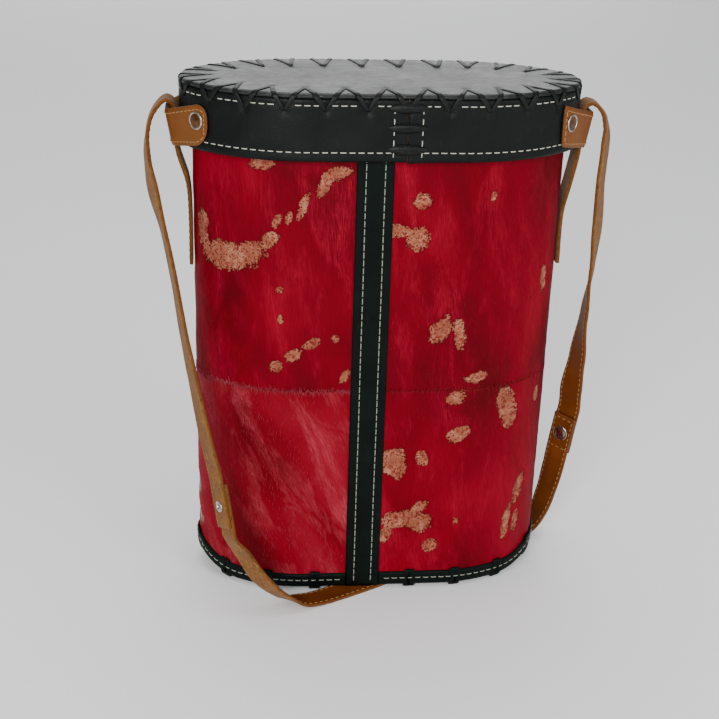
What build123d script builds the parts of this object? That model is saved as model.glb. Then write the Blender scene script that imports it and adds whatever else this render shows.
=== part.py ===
from build123d import *
import os
from math import acos, asin, atan2, cos, degrees, hypot, radians, sin, sqrt

os.makedirs("parts", exist_ok=True)

# An oval carrying case with a lift-off lid. Millimetres, +Z up, X along the case, the front at -Y.
# The origin is on the surface that the case stands on, under the middle of the case.

# ---- driving dimensions ----
# Plan outline of the lid: straight long sides, wide shoulder arcs and tighter nose arcs.
lid_length = 280.0
lid_depth = 126.0
nose_radius = 45.0
shoulder_radius = 110.0
# Heights, measured from the floor.
overall_height = 380.0
skirt_height = 45.0
hide_seam_height = 165.0
# The base is flat in the middle and rolls up towards both noses, from this far inside the lid's ends.
base_roll_run = 40.0
base_roll_radius = 44.0
base_roll_turn = 50.0
# Walls, from the outside in.
lid_panel_thickness = 3.0
lid_board_thickness = 3.0
skirt_leather = 2.2
skirt_lining = 1.6
lid_play = 3.0
strip_leather = 1.6
hide_thickness = 2.0
shell_wall = 3.0
case_lining_thickness = 1.0
sole_leather = 2.0
base_board_thickness = 3.0
rim_leather = 2.0
lid_seat_gap = 0.3
# Trim on the case.
strip_width = 25.5
strip_offset = -8.7
binding_height = 11.0
# Base lacing: short thongs over the binding and under the sole, which the case stands on.
base_lace_width = 4.5
base_lace_side = 1.4
base_lace_reach = 8.0
base_lace_rise = 2.0
base_lace_pitch = 36.0
# Lid lacing: a zigzag thong over the top edge.
lid_lace_count = 25
lid_lace_width = 4.5
lid_lace_thickness = 1.2
lid_lace_reach = 19.5
lid_lace_drop = 11.0
lid_lace_spread = 8.6
lid_lace_overhang = 3.0
lid_lace_clearance = 0.3
# Lid seam, closed by three cross thongs.
seam_offset = 11.0
seam_slit = 0.8
seam_lace_length = 29.0
seam_lace_width = 6.0
seam_lace_thickness = 1.6
seam_lace_drops = (35.5, 22.0, 9.0)
# Shoulder strap and its keepers. Drops are measured down from the lid's top.
strap_width = 19.0
strap_thickness = 2.6
strap_lap = 32.0
strap_guide = 8.0
strap_lap_gap = 0.04
strap_floor_gap = 0.15
strap_sole_gap = 0.25
riser_gap = 0.6
slot_gap = 0.4
riser_end_drop = 134.0
keeper_leather = 2.2
keeper_slot_depth = 5.5
keeper_slot_play = 0.8
keeper_reach = 19.5
keeper_top_outer_drop = 22.0
keeper_top_inner_drop = 11.0
keeper_low_outer_drop = 47.0
keeper_low_inner_drop = 40.0
# Tubular rivets.
cap_radius = 6.2
cap_thickness = 1.3
cap_stand = 0.2
bore_clearance = 0.1
post_radius = 1.8
washer_radius = 4.5
washer_thickness = 0.7
keeper_rivet_angle = 45.5
keeper_rivet_drop = 24.5

# ---- derived insets from the lid's outline, and heights ----
lining_out = skirt_leather
skirt_bore = lining_out + skirt_lining
strip_out = skirt_bore + lid_play
hide_out = strip_out + strip_leather
shell_out = hide_out + hide_thickness
case_lining_out = shell_out + shell_wall
cavity = case_lining_out + case_lining_thickness

skirt_low = overall_height - skirt_height
panel_low = overall_height - lid_panel_thickness
board_low = panel_low - lid_board_thickness
rim_top = board_low - lid_seat_gap
wall_top = rim_top - rim_leather
# The base stands on its thongs, just clear of the strap that passes under it.
sole_low = strap_floor_gap + strap_thickness + strap_sole_gap
sole_top = sole_low + sole_leather
board_top = sole_top + base_board_thickness
binding_top = sole_low + binding_height
lining_low = skirt_low + 1.0
# Past every face, for cutting solids.
far = lid_length + lid_depth + overall_height

lid_end = lid_length / 2
front_y = -lid_depth / 2
base_flat_half = lid_end - base_roll_run

nose_x = lid_end - nose_radius
shoulder_gap = shoulder_radius - nose_radius
shoulder_run = sqrt(shoulder_gap**2 - (shoulder_radius - lid_depth / 2) ** 2)
shoulder_x = nose_x - shoulder_run
shoulder_turn = degrees(asin(shoulder_run / shoulder_gap))
nose_turn = 180.0 - 2 * shoulder_turn


# ---- shapes that several pieces share ----
def oval(inset):
    """The plan outline, brought in by inset, as a face."""
    low_y = front_y + inset
    with BuildSketch(Plane.XY) as plan:
        with BuildLine():
            run = Line((-shoulder_x, low_y), (shoulder_x, low_y))
            for end in ("right", "left"):
                rise = JernArc(run @ 1, run % 1, shoulder_radius - inset, shoulder_turn)
                nose = JernArc(rise @ 1, rise % 1, nose_radius - inset, nose_turn)
                fall = JernArc(nose @ 1, nose % 1, shoulder_radius - inset, shoulder_turn)
                if end == "right":
                    run = Line(fall @ 1, (-shoulder_x, -low_y))
        make_face()
    return plan.sketch


def station(distance, inset=0.0):
    """Point and heading on the outline, distance mm counter-clockwise from the front's middle."""
    wide = shoulder_radius - inset
    tight = nose_radius - inset
    side = [(shoulder_turn, wide), (nose_turn, tight), (shoulder_turn, wide)]
    runs = [(shoulder_x, 0), *side, (2 * shoulder_x, 0), *side, (shoulder_x, 0)]
    x, y, heading = 0.0, front_y + inset, 0.0
    left = distance % perimeter(inset)
    for size, radius in runs:
        length = radians(size) * radius if radius else size
        step = min(left, length)
        left -= step
        if radius:
            turned = heading + step / radius
            x += radius * (sin(turned) - sin(heading))
            y += radius * (cos(heading) - cos(turned))
            heading = turned
        else:
            x += step * cos(heading)
            y += step * sin(heading)
        if left <= 0:
            break
    return x, y, degrees(heading)


def perimeter(inset=0.0):
    """Length round the outline."""
    arcs = 4 * radians(shoulder_turn) * (shoulder_radius - inset)
    noses = 2 * radians(nose_turn) * (nose_radius - inset)
    return 4 * shoulder_x + arcs + noses


def wall(outer, inner, low, high):
    """An upright wall between two insets."""
    with BuildPart(Plane.XY) as made:
        with BuildSketch(Plane.XY.offset(low)):
            add(oval(outer))
            add(oval(inner), mode=Mode.SUBTRACT)
        extrude(amount=high - low)
    return made.part


def plate(outer, low, high):
    """A full oval plate."""
    with BuildPart(Plane.XY) as made:
        with BuildSketch(Plane.XY.offset(low)):
            add(oval(outer))
        extrude(amount=high - low)
    return made.part


def above_base(lift):
    """Everything above the base's curve, raised by lift."""
    with BuildPart(Plane.XY) as made:
        with BuildSketch(Plane.XZ):
            with BuildLine():
                flat = Line((-base_flat_half, lift), (base_flat_half, lift))
                right = JernArc(flat @ 1, (1, 0), base_roll_radius, base_roll_turn)
                right_end = PolarLine(right @ 1, lid_end, base_roll_turn)
                left = JernArc(flat @ 0, (-1, 0), base_roll_radius, -base_roll_turn)
                left_end = PolarLine(left @ 1, lid_end, 180 - base_roll_turn)
                Polyline(right_end @ 1, (far, 2 * far), (-far, 2 * far), left_end @ 1)
            make_face()
        extrude(amount=lid_depth, both=True)
    return made.part


def slab(x_low, x_high, y_low, y_high, low, high):
    """A box given by its limits."""
    with BuildPart(Plane.XY) as made:
        with BuildSketch(Plane.XY.offset(low)):
            with Locations(((x_low + x_high) / 2, (y_low + y_high) / 2)):
                Rectangle(x_high - x_low, y_high - y_low)
        extrude(amount=high - low)
    return made.part


def finish(part, label):
    """Names a finished piece and writes it."""
    part.label = label
    export_step(part, f"parts/{label}.step")


# ---- case: shell, base and linings ----
with BuildPart() as case_shell:
    add(wall(shell_out, case_lining_out, 0, wall_top))
    add(above_base(sole_top), mode=Mode.INTERSECT)
finish(case_shell.part, "case_shell")

with BuildPart() as case_lining:
    add(wall(case_lining_out, cavity, 0, wall_top))
    add(above_base(board_top), mode=Mode.INTERSECT)
finish(case_lining.part, "case_lining")

with BuildPart() as base_board:
    add(plate(case_lining_out, 0, hide_seam_height))
    add(above_base(sole_top), mode=Mode.INTERSECT)
    add(above_base(board_top), mode=Mode.SUBTRACT)
finish(base_board.part, "base_board")

with BuildPart() as base_sole:
    add(plate(hide_out, 0, hide_seam_height))
    add(above_base(sole_low), mode=Mode.INTERSECT)
    add(above_base(sole_top), mode=Mode.SUBTRACT)
finish(base_sole.part, "base_sole")

with BuildPart() as rim_binding:
    add(wall(hide_out, cavity, wall_top, rim_top))
finish(rim_binding.part, "rim_binding")

# ---- case: hide panels, four pieces that meet under the strips and at mid height ----
hide_bands = {"upper": (hide_seam_height, wall_top), "lower": (0.0, hide_seam_height)}
hide_sides = {"left": (-far, strip_offset), "right": (strip_offset, far)}
for band, (band_low, band_high) in hide_bands.items():
    for side, (side_low, side_high) in hide_sides.items():
        with BuildPart() as hide_panel:
            add(wall(hide_out, shell_out, band_low, band_high))
            add(slab(side_low, side_high, -far, far, band_low, band_high), mode=Mode.INTERSECT)
            if band == "lower":
                add(above_base(sole_top), mode=Mode.INTERSECT)
        finish(hide_panel.part, f"hide_{band}_{side}")

# ---- case: strips over the upright seams, and the binding round the base ----
strip_low_x = strip_offset - strip_width / 2
strip_high_x = strip_offset + strip_width / 2
for name, y_low, y_high in (("front_strip", -far, 0.0), ("back_strip", 0.0, far)):
    with BuildPart() as strip:
        add(wall(strip_out, hide_out, 0, wall_top))
        add(slab(strip_low_x, strip_high_x, y_low, y_high, 0, wall_top), mode=Mode.INTERSECT)
        add(above_base(sole_low), mode=Mode.INTERSECT)
    finish(strip.part, name)

with BuildPart() as base_binding:
    add(wall(strip_out, hide_out, 0, hide_seam_height))
    add(above_base(sole_low), mode=Mode.INTERSECT)
    add(above_base(binding_top), mode=Mode.SUBTRACT)
    add(slab(strip_low_x, strip_high_x, -far, far, 0, hide_seam_height), mode=Mode.SUBTRACT)
finish(base_binding.part, "base_binding")

# ---- case: base lacing ----
# Thongs stand at an equal pitch to both sides of the strips, and none lies under a strip.
lace_line = strip_out
half_round = perimeter(lace_line) / 2
lace_slots = []
for start, way in ((strip_offset, 1), (strip_offset, -1)):
    steps = int((half_round + abs(strip_offset)) / base_lace_pitch)
    for k in range(1, steps + 1):
        along = start + way * k * base_lace_pitch
        x, y, heading = station(along, lace_line)
        under_back_strip = y > 0 and abs(x - strip_offset) < strip_width / 2 + base_lace_width
        crowded = any(hypot(x - a, y - b) < base_lace_pitch / 2 for a, b, _ in lace_slots)
        if not under_back_strip and not crowded:
            lace_slots.append((x, y, heading))

with BuildPart() as case_block:
    add(plate(strip_out, 0, hide_seam_height))
    add(above_base(sole_low), mode=Mode.INTERSECT)

with BuildPart() as lace_slabs:
    with BuildSketch(Plane.XY):
        for x, y, heading in lace_slots:
            with Locations(Location((x, y, 0), heading)):
                Rectangle(base_lace_width, 3 * base_lace_reach)
    extrude(amount=hide_seam_height)

with BuildPart() as base_lacing:
    add(wall(strip_out - base_lace_side, strip_out + base_lace_reach, 0, hide_seam_height))
    add(above_base(0), mode=Mode.INTERSECT)
    add(above_base(binding_top + base_lace_rise), mode=Mode.SUBTRACT)
    add(case_block.part, mode=Mode.SUBTRACT)
    add(lace_slabs.part, mode=Mode.INTERSECT)
finish(base_lacing.part, "base_lacing")


# ---- rivets ----
def rivet(seat, axis, grip):
    """A domed cap at seat facing axis, a post through grip mm of leather, and a washer behind."""
    normal = Vector(*axis).normalized()
    face = Plane(origin=Vector(*seat), z_dir=normal)
    with BuildPart() as one:
        with BuildSketch(face):
            Circle(cap_radius)
        extrude(amount=cap_thickness)
        fillet(one.faces().sort_by(Axis(Vector(*seat), normal))[-1].edges(), cap_thickness * 0.6)
        with BuildSketch(face):
            Circle(post_radius)
        extrude(amount=-grip)
        with BuildSketch(face.offset(-grip)):
            Circle(washer_radius)
        extrude(amount=-washer_thickness)
    return one.part


def bore(seat, axis, grip):
    """The hole that a rivet's post needs, past both faces."""
    normal = Vector(*axis).normalized()
    with BuildPart() as hole:
        with BuildSketch(Plane(origin=Vector(*seat), z_dir=normal).offset(cap_thickness)):
            Circle(post_radius + bore_clearance)
        extrude(amount=-(grip + 2 * cap_thickness + washer_thickness))
    return hole.part


# A flat washer inside the round nose touches at its rim, so its face stands in by the nose's rise.
washer_stand = washer_radius**2 / (2 * (nose_radius - skirt_bore)) + 0.05
keeper_grip = cap_stand + keeper_leather + skirt_bore + washer_stand
keeper_seats = []
for side in (-1, 1):
    for depth_side in (-1, 1):
        angle = radians(keeper_rivet_angle)
        out = (side * cos(angle), depth_side * sin(angle), 0)
        reach = nose_radius + keeper_leather + cap_stand
        seat = (side * nose_x + out[0] * reach, out[1] * reach, overall_height - keeper_rivet_drop)
        keeper_seats.append((side, seat, out))

for name, side in (("keeper_rivets_left", -1), ("keeper_rivets_right", 1)):
    with BuildPart() as keeper_rivets:
        for seat_side, seat, out in keeper_seats:
            if seat_side == side:
                add(rivet(seat, out, keeper_grip))
    finish(keeper_rivets.part, name)

# ---- lid ----
with BuildPart() as lid_top:
    add(plate(0, panel_low, overall_height))
finish(lid_top.part, "lid_top")

with BuildPart() as lid_board:
    add(plate(lining_out, board_low, panel_low))
finish(lid_board.part, "lid_board")

with BuildPart() as lid_skirt:
    add(wall(0, lining_out, skirt_low, panel_low))
    slit = (seam_offset - seam_slit / 2, seam_offset + seam_slit / 2)
    add(slab(*slit, -far, 0, skirt_low, panel_low), mode=Mode.SUBTRACT)
    for _, seat, out in keeper_seats:
        add(bore(seat, out, keeper_grip), mode=Mode.SUBTRACT)
finish(lid_skirt.part, "lid_skirt")

with BuildPart() as lid_lining:
    add(wall(lining_out, skirt_bore, lining_low, board_low))
    for _, seat, out in keeper_seats:
        add(bore(seat, out, keeper_grip), mode=Mode.SUBTRACT)
finish(lid_lining.part, "lid_lining")

# ---- lid: zigzag edge lacing, one solid for each pair of legs ----
lid_pitch = perimeter() / lid_lace_count
seam_clear_half = seam_lace_length / 2 + lid_lace_clearance
seam_clear_top = overall_height - min(seam_lace_drops) + seam_lace_width / 2 + lid_lace_clearance
with BuildPart() as zigzag:
    with BuildSketch(Plane.XY.offset(overall_height - lid_lace_drop)):
        for k in range(lid_lace_count):
            middle = seam_offset + (k + 0.5) * lid_pitch
            apex_x, apex_y, apex_heading = station(middle)
            inward = radians(apex_heading + 90)
            apex = (apex_x + lid_lace_reach * cos(inward), apex_y + lid_lace_reach * sin(inward))
            for way in (-1, 1):
                edge_x, edge_y, _ = station(middle + way * lid_lace_spread)
                leg_angle = atan2(edge_y - apex[1], edge_x - apex[0])
                leg = hypot(edge_x - apex[0], edge_y - apex[1]) + lid_lace_overhang
                centre = (apex[0] + cos(leg_angle) * leg / 2, apex[1] + sin(leg_angle) * leg / 2, 0)
                with Locations(Location(centre, degrees(leg_angle))):
                    Rectangle(leg, lid_lace_width)
    extrude(amount=lid_lace_drop + lid_lace_thickness)

with BuildPart() as lid_edge_lacing:
    add(plate(-lid_lace_thickness, overall_height - lid_lace_drop, overall_height + lid_lace_thickness))
    add(plate(0, 0, overall_height), mode=Mode.SUBTRACT)
    add(zigzag.part, mode=Mode.INTERSECT)
    seam_clear = (seam_offset - seam_clear_half, seam_offset + seam_clear_half)
    add(slab(*seam_clear, -far, 0, 0, seam_clear_top), mode=Mode.SUBTRACT)
finish(lid_edge_lacing.part, "lid_edge_lacing")

with BuildPart() as lid_seam_lacing:
    for drop in seam_lace_drops:
        with BuildSketch(Plane.XZ.offset(-front_y)):
            with Locations((seam_offset, overall_height - drop)):
                Ellipse(seam_lace_length / 2, seam_lace_width / 2)
        extrude(amount=seam_lace_thickness)
finish(lid_seam_lacing.part, "lid_seam_lacing")


# ---- keepers: leather bands riveted round the lid's noses, with a slot for the strap ----
def nose_wrap(side, skin):
    """The outline grown by skin, with the slot's corners joined to it by tangent lines."""
    corner_x = nose_radius + keeper_slot_depth + skin
    corner_y = strap_width / 2 + keeper_slot_play + skin
    radius = nose_radius + skin
    touch = atan2(corner_y, corner_x) + acos(radius / hypot(corner_x, corner_y))
    touch_x = side * (nose_x + radius * cos(touch))
    touch_y = radius * sin(touch)
    far_x = side * (nose_x + corner_x)
    with BuildSketch(Plane.XY) as plan:
        add(oval(-skin))
        with BuildLine():
            Polyline(
                (side * nose_x, touch_y / 2),
                (touch_x, touch_y),
                (far_x, corner_y),
                (far_x, -corner_y),
                (touch_x, -touch_y),
                (side * nose_x, -touch_y / 2),
                close=True,
            )
        make_face()
    return plan.sketch


keeper_outer_x = lid_end + keeper_slot_depth + keeper_leather
keeper_far_x = keeper_outer_x + keeper_leather
keeper_inner_x = lid_end - keeper_reach
keeper_low = overall_height - keeper_low_outer_drop
keeper_top = overall_height - keeper_top_outer_drop
keeper_low_inner = overall_height - keeper_low_inner_drop
keeper_top_inner = overall_height - keeper_top_inner_drop
for name, side in (("keeper_left", -1), ("keeper_right", 1)):
    with BuildPart() as keeper:
        with BuildSketch(Plane.XY.offset(keeper_low)):
            add(nose_wrap(side, keeper_leather))
            add(nose_wrap(side, 0), mode=Mode.SUBTRACT)
        extrude(amount=overall_height - keeper_low)
        with BuildSketch(Plane.XZ):
            with BuildLine():
                Polyline(
                    (side * keeper_inner_x, keeper_low_inner),
                    (side * keeper_outer_x, keeper_low),
                    (side * keeper_far_x, keeper_low),
                    (side * keeper_far_x, keeper_top),
                    (side * keeper_outer_x, keeper_top),
                    (side * keeper_inner_x, keeper_top_inner),
                    close=True,
                )
            make_face()
        extrude(amount=lid_depth, both=True, mode=Mode.INTERSECT)
        for _, seat, out in keeper_seats:
            add(bore(seat, out, keeper_grip), mode=Mode.SUBTRACT)
    finish(keeper.part, name)

# ---- shoulder strap: three flat leather pieces, lapped and riveted ----
# Each station is a point on the strap's middle and the way its grain side faces there.
riser_x = riser_gap + strap_thickness / 2 - hide_out
slot_x = slot_gap + strap_thickness / 2
floor_z = strap_thickness / 2 + strap_floor_gap


def high(x, y, drop, *grain):
    """A station beside the lid's right end: x beyond the end, drop below the lid's top."""
    return (lid_end + x, y, overall_height - drop), grain


def low(x, y, z, *grain):
    """A station beside the case's right end: x beyond the lid's end, z above the floor."""
    return (lid_end + x, y, z), grain


def mirrored(stations):
    """The same stations at the left end."""
    return [((-x, y, z), (-grain[0], grain[1], grain[2])) for (x, y, z), grain in stations]


def riser(foot_swing):
    """Stations from the riser's foot up through the keeper, to just above its top edge."""
    return [
        high(riser_x, 0.0, riser_end_drop, 1.0, 0.0, 0.0),
        high(riser_x, 0.0, 96.0, 1.0, 0.0, 0.0),
        high(riser_x + foot_swing, 0.0, 74.0, 1.0, 0.0, 0.0),
        high(slot_x, 0.0, 50.0, 1.0, 0.0, 0.0),
        high(slot_x, 0.0, 30.0, 1.0, 0.0, -0.1),
        high(slot_x + 1.8, 0.0, 20.0, 0.8, 0.0, -0.6),
        high(slot_x + 6.7, 0.0, 16.4, 0.0, 0.0, -1.0),
    ]


# The left length comes forward and down to a rivet in front of the case.
left_joint = ((-(lid_end - 26.5), front_y - 12.0, 86.0), (0.88, 0.47, 0.0))
left_route = mirrored(
    riser(1.4)
    + [
        high(14.0, 0.0, 20.4, -0.5, 0.0, -0.87),
        high(19.2, -0.5, 28.6, -0.83, 0.0, -0.53),
        high(22.0, -1.5, 40.0, -1.0, 0.05, -0.1),
        high(22.6, -3.5, 56.0, -0.97, 0.2, 0.0),
        high(19.0, -8.0, 80.0, -0.93, 0.37, 0.0),
        high(11.8, -14.0, 110.0, -0.98, 0.18, 0.0),
        high(5.3, -24.0, 142.0, -0.98, 0.2, 0.0),
        low(-0.2, -34.0, 205.0, -0.97, 0.25, 0.0),
        low(-6.0, -44.0, 176.0, -0.95, 0.32, 0.0),
        low(-14.5, front_y + 4.0, 136.0, -0.91, 0.42, 0.0),
    ]
)
# The middle length comes down to the floor, passes under the case and rises behind its right end.
middle_left = mirrored(
    [
        low(-40.5, front_y - 19.0, 50.0, -0.76, 0.64, 0.12),
        low(-53.0, front_y - 21.0, 30.0, -0.6, 0.75, 0.3),
        low(-70.0, front_y - 18.0, 12.0, -0.3, 0.6, 0.75),
    ]
)
middle_floor = [
    ((strip_offset - 44.3, front_y - 11.5, floor_z + 1.9), (0.0, 0.05, 1.0)),
    ((strip_offset - 16.3, front_y + 2.5, floor_z + 0.1), (0.0, 0.0, 1.0)),
    ((strip_offset + 38.7, front_y + 33.0, floor_z), (0.0, 0.0, 1.0)),
]
middle_right = [
    low(-55.0, 0.0, floor_z, 0.0, 0.0, 1.0),
    low(-23.0, 15.0, floor_z + 0.2, 0.0, 0.0, 1.0),
    low(-9.0, 20.5, 3.4, -0.25, -0.1, 1.0),
    low(3.0, 24.5, 14.6, -0.75, -0.35, 0.6),
    low(10.0, 26.0, 34.0, -0.8, -0.55, 0.3),
    low(14.5, 25.0, 60.0, -0.73, -0.68, 0.1),
]
middle_route = middle_left + middle_floor + middle_right
# The right length rises from a rivet beside the case to the right keeper.
right_joint = ((lid_end + 18.5, 22.0, 92.0), (-0.7, -0.71, 0.0))
right_route = [
    low(20.5, 16.0, 132.0, -0.72, -0.7, 0.0),
    low(21.6, 12.0, 160.0, -0.93, -0.37, 0.0),
    low(22.6, 8.0, 198.0, -1.0, 0.05, 0.0),
    high(24.2, 5.0, 144.0, -0.93, 0.37, 0.0),
    high(24.2, 3.0, 110.0, -0.84, 0.55, 0.0),
    high(22.8, 1.5, 76.0, -0.87, 0.49, 0.0),
    high(23.2, 0.5, 46.0, -0.87, 0.48, -0.05),
    high(21.4, 0.0, 31.0, -0.85, 0.3, -0.42),
    high(16.0, 0.0, 21.0, -0.58, 0.08, -0.8),
    *reversed(riser(4.2)),
]
steps_per_run = 2


def lap_stations(before, joint, after, layer, arriving):
    """Stations straight through a lap, on one layer of it, with a guide where the piece joins it."""
    centre = Vector(*joint[0])
    face = Vector(*joint[1]).normalized()
    course = (Vector(*after) - Vector(*before)).normalized()
    course = (course - face * course.dot(face)).normalized()
    raised = centre + face * (layer * (strap_thickness + strap_lap_gap) / 2)
    half = strap_lap / 2
    guide = -half - strap_guide if arriving else half + strap_guide
    points = [raised + course * reach for reach in sorted((-half, 0.0, half, guide))]
    return [((p.X, p.Y, p.Z), tuple(face)) for p in points]


def smooth(route):
    """Stations of a smooth curve through the route's own, as points and grain directions."""
    points = [Vector(*p) for p, _ in route]
    faces = [Vector(*g).normalized() for _, g in route]
    made = []
    for i in range(len(points) - 1):
        a = points[max(i - 1, 0)]
        b = points[i]
        c = points[i + 1]
        d = points[min(i + 2, len(points) - 1)]
        chord = (c - b).length
        leave = (c - a).normalized() * chord
        arrive = (d - b).normalized() * chord
        for k in range(steps_per_run):
            t = k / steps_per_run
            h = (2 * t**3 - 3 * t**2 + 1, t**3 - 2 * t**2 + t, 3 * t**2 - 2 * t**3, t**3 - t**2)
            point = b * h[0] + leave * h[1] + c * h[2] + arrive * h[3]
            made.append((point, (faces[i] * (1 - t) + faces[i + 1] * t).normalized()))
    made.append((points[-1], faces[-1]))
    return made


def strap_piece(route):
    """Lofts a flat strap of rectangular section along a route."""
    stations = smooth(route)
    with BuildPart() as piece:
        for i, (point, face) in enumerate(stations):
            ahead = stations[min(i + 1, len(stations) - 1)][0]
            behind = stations[max(i - 1, 0)][0]
            course = (ahead - behind).normalized()
            across = face.cross(course).normalized()
            with BuildSketch(Plane(origin=point, x_dir=across, z_dir=course)):
                Rectangle(strap_width, strap_thickness)
        loft(ruled=True)
    return piece.part


left_ends = (left_route[-1][0], left_joint, middle_route[0][0])
right_ends = (middle_route[-1][0], right_joint, right_route[0][0])
left_arriving = lap_stations(*left_ends, -1, True)
left_leaving = lap_stations(*left_ends, 1, False)
right_arriving = lap_stations(*right_ends, 1, True)
right_leaving = lap_stations(*right_ends, -1, False)
strap_grip = 2 * (strap_thickness + strap_lap_gap)


def strap_rivet_seat(joint):
    """Seat and axis of a rivet through the middle of a lap, its cap on the grain side."""
    face = Vector(*joint[1]).normalized()
    seat = Vector(*joint[0]) + face * strap_grip / 2
    return tuple(seat), tuple(face)


left_seat, left_axis = strap_rivet_seat(left_joint)
right_seat, right_axis = strap_rivet_seat(right_joint)

with BuildPart() as strap_left:
    add(strap_piece(left_route + left_arriving))
    add(bore(left_seat, left_axis, strap_grip), mode=Mode.SUBTRACT)
finish(strap_left.part, "strap_left")

with BuildPart() as strap_middle:
    add(strap_piece(left_leaving + middle_route + right_arriving))
    add(bore(left_seat, left_axis, strap_grip), mode=Mode.SUBTRACT)
    add(bore(right_seat, right_axis, strap_grip), mode=Mode.SUBTRACT)
finish(strap_middle.part, "strap_middle")

with BuildPart() as strap_right:
    add(strap_piece(right_leaving + right_route))
    add(bore(right_seat, right_axis, strap_grip), mode=Mode.SUBTRACT)
finish(strap_right.part, "strap_right")

with BuildPart() as strap_rivet_left:
    add(rivet(left_seat, left_axis, strap_grip))
finish(strap_rivet_left.part, "strap_rivet_left")

with BuildPart() as strap_rivet_right:
    add(rivet(right_seat, right_axis, strap_grip))
finish(strap_rivet_right.part, "strap_rivet_right")
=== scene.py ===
import math
import random

import bmesh
import bpy
from mathutils import Matrix, Vector, noise


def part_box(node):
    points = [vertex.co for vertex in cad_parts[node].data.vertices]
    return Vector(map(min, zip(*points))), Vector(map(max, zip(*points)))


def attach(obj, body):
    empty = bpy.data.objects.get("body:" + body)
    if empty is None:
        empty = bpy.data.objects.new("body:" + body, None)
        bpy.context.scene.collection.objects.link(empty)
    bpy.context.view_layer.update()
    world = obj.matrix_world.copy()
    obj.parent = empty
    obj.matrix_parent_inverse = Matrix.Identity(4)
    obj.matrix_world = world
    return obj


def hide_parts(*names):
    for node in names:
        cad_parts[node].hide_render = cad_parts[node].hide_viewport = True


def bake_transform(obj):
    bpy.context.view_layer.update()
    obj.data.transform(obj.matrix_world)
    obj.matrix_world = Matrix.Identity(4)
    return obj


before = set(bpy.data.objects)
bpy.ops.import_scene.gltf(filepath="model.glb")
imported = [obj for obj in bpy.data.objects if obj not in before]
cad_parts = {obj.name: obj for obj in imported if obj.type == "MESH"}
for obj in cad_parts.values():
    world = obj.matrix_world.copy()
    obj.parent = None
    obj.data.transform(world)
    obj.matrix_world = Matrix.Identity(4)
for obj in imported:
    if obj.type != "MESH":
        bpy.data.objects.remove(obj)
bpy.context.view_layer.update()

# Sizes are in millimetres, and meshes are written in metres.
MM = 0.001
UP = Vector((0, 0, 1))
random.seed(7)


def node_box(node):
    """Lowest and highest corner of a CAD node, in millimetres."""
    low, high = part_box(node)
    return low / MM, high / MM


# ---- sizes read from the frame ----
skirt_box_low, skirt_box_high = node_box("lid_skirt")
lid_top_low, lid_top_high = node_box("lid_top")
hide_up_box = node_box("hide_upper_left")
strip_box_low, strip_box_high = node_box("front_strip")

half_length = skirt_box_high.x
half_depth = skirt_box_high.y
lid_z = lid_top_high.z
panel_z = lid_top_low.z
skirt_z = skirt_box_low.z
strip_x = (strip_box_low.x + strip_box_high.x) / 2
strip_width = strip_box_high.x - strip_box_low.x
strip_inset = half_depth + strip_box_low.y
hide_inset = half_depth + hide_up_box[0].y
wall_z = hide_up_box[1].z
seam_z = hide_up_box[0].z
sole_z = strip_box_low.z

# ---- sizes that the frame doesn't give ----
nose_radius = 45
shoulder_radius = 110
base_flat_half = 100
base_roll_radius = 44
base_roll_run = 40
skirt_thickness = 2.2
leather_strip = 1.6
hide_thickness = 2
binding_height = 11
seam_x = 11
lace_count = 25
lace_drop = 11
lace_reach = 19.5
lace_rear_extra = 10
edge_radius = 3
strap_width = 19
strap_thickness = 2.6
stitch_pitch = 6
stitch_length = 4.4

nose_x = half_length - nose_radius
shoulder_gap = shoulder_radius - nose_radius
shoulder_run = math.sqrt(shoulder_gap**2 - (shoulder_radius - half_depth) ** 2)
shoulder_x = nose_x - shoulder_run
shoulder_turn = math.asin(shoulder_run / shoulder_gap)
nose_turn = math.pi - 2 * shoulder_turn


# ---- the plan outline: straights and arcs, as lengths without a radius or angles with one ----
end_arcs = ((shoulder_turn, shoulder_radius), (nose_turn, nose_radius), (shoulder_turn, shoulder_radius))
outline_runs = ((shoulder_x, 0), *end_arcs, (2 * shoulder_x, 0), *end_arcs, (shoulder_x, 0))
lid_round = sum(size * (radius or 1) for size, radius in outline_runs)


def outline(distance, inset=0):
    """Point on the outline and its outward normal, distance counter-clockwise from the front's middle.
    Distances are those of the lid's own outline, whatever the inset, so that layers line up."""
    x, y, heading = 0, -half_depth, 0
    left = distance % lid_round
    for size, radius in outline_runs:
        step = min(left, size * (radius or 1))
        left -= step
        if radius:
            turned = heading + step / radius
            x += radius * (math.sin(turned) - math.sin(heading))
            y += radius * (math.cos(heading) - math.cos(turned))
            heading = turned
        else:
            x += step * math.cos(heading)
            y += step * math.sin(heading)
        if left <= 0:
            break
    normal = Vector((math.sin(heading), -math.cos(heading), 0))
    return Vector((x, y, 0)) - normal * inset, normal


def base_rise(x):
    """How far the base has rolled up at x."""
    over = max(0, abs(x) - base_flat_half)
    return base_roll_radius - math.sqrt(base_roll_radius**2 - min(over, base_roll_run) ** 2)


def wobble(x, y, z, scale, seed=0):
    """Smooth noise between about -1 and 1, with features of the given size in millimetres."""
    return noise.noise(Vector((x / scale + seed, y / scale - seed, z / scale + 2 * seed)))


# ---- mesh building ----
def new_object(name, data):
    """An object in the scene."""
    made = bpy.data.objects.new(name, data)
    bpy.context.scene.collection.objects.link(made)
    return made


def settle(made, body, node=None):
    """Has an object ride a body, and hides the CAD node that it stands for."""
    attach(made, body)
    if node:
        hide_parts(node)


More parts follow.
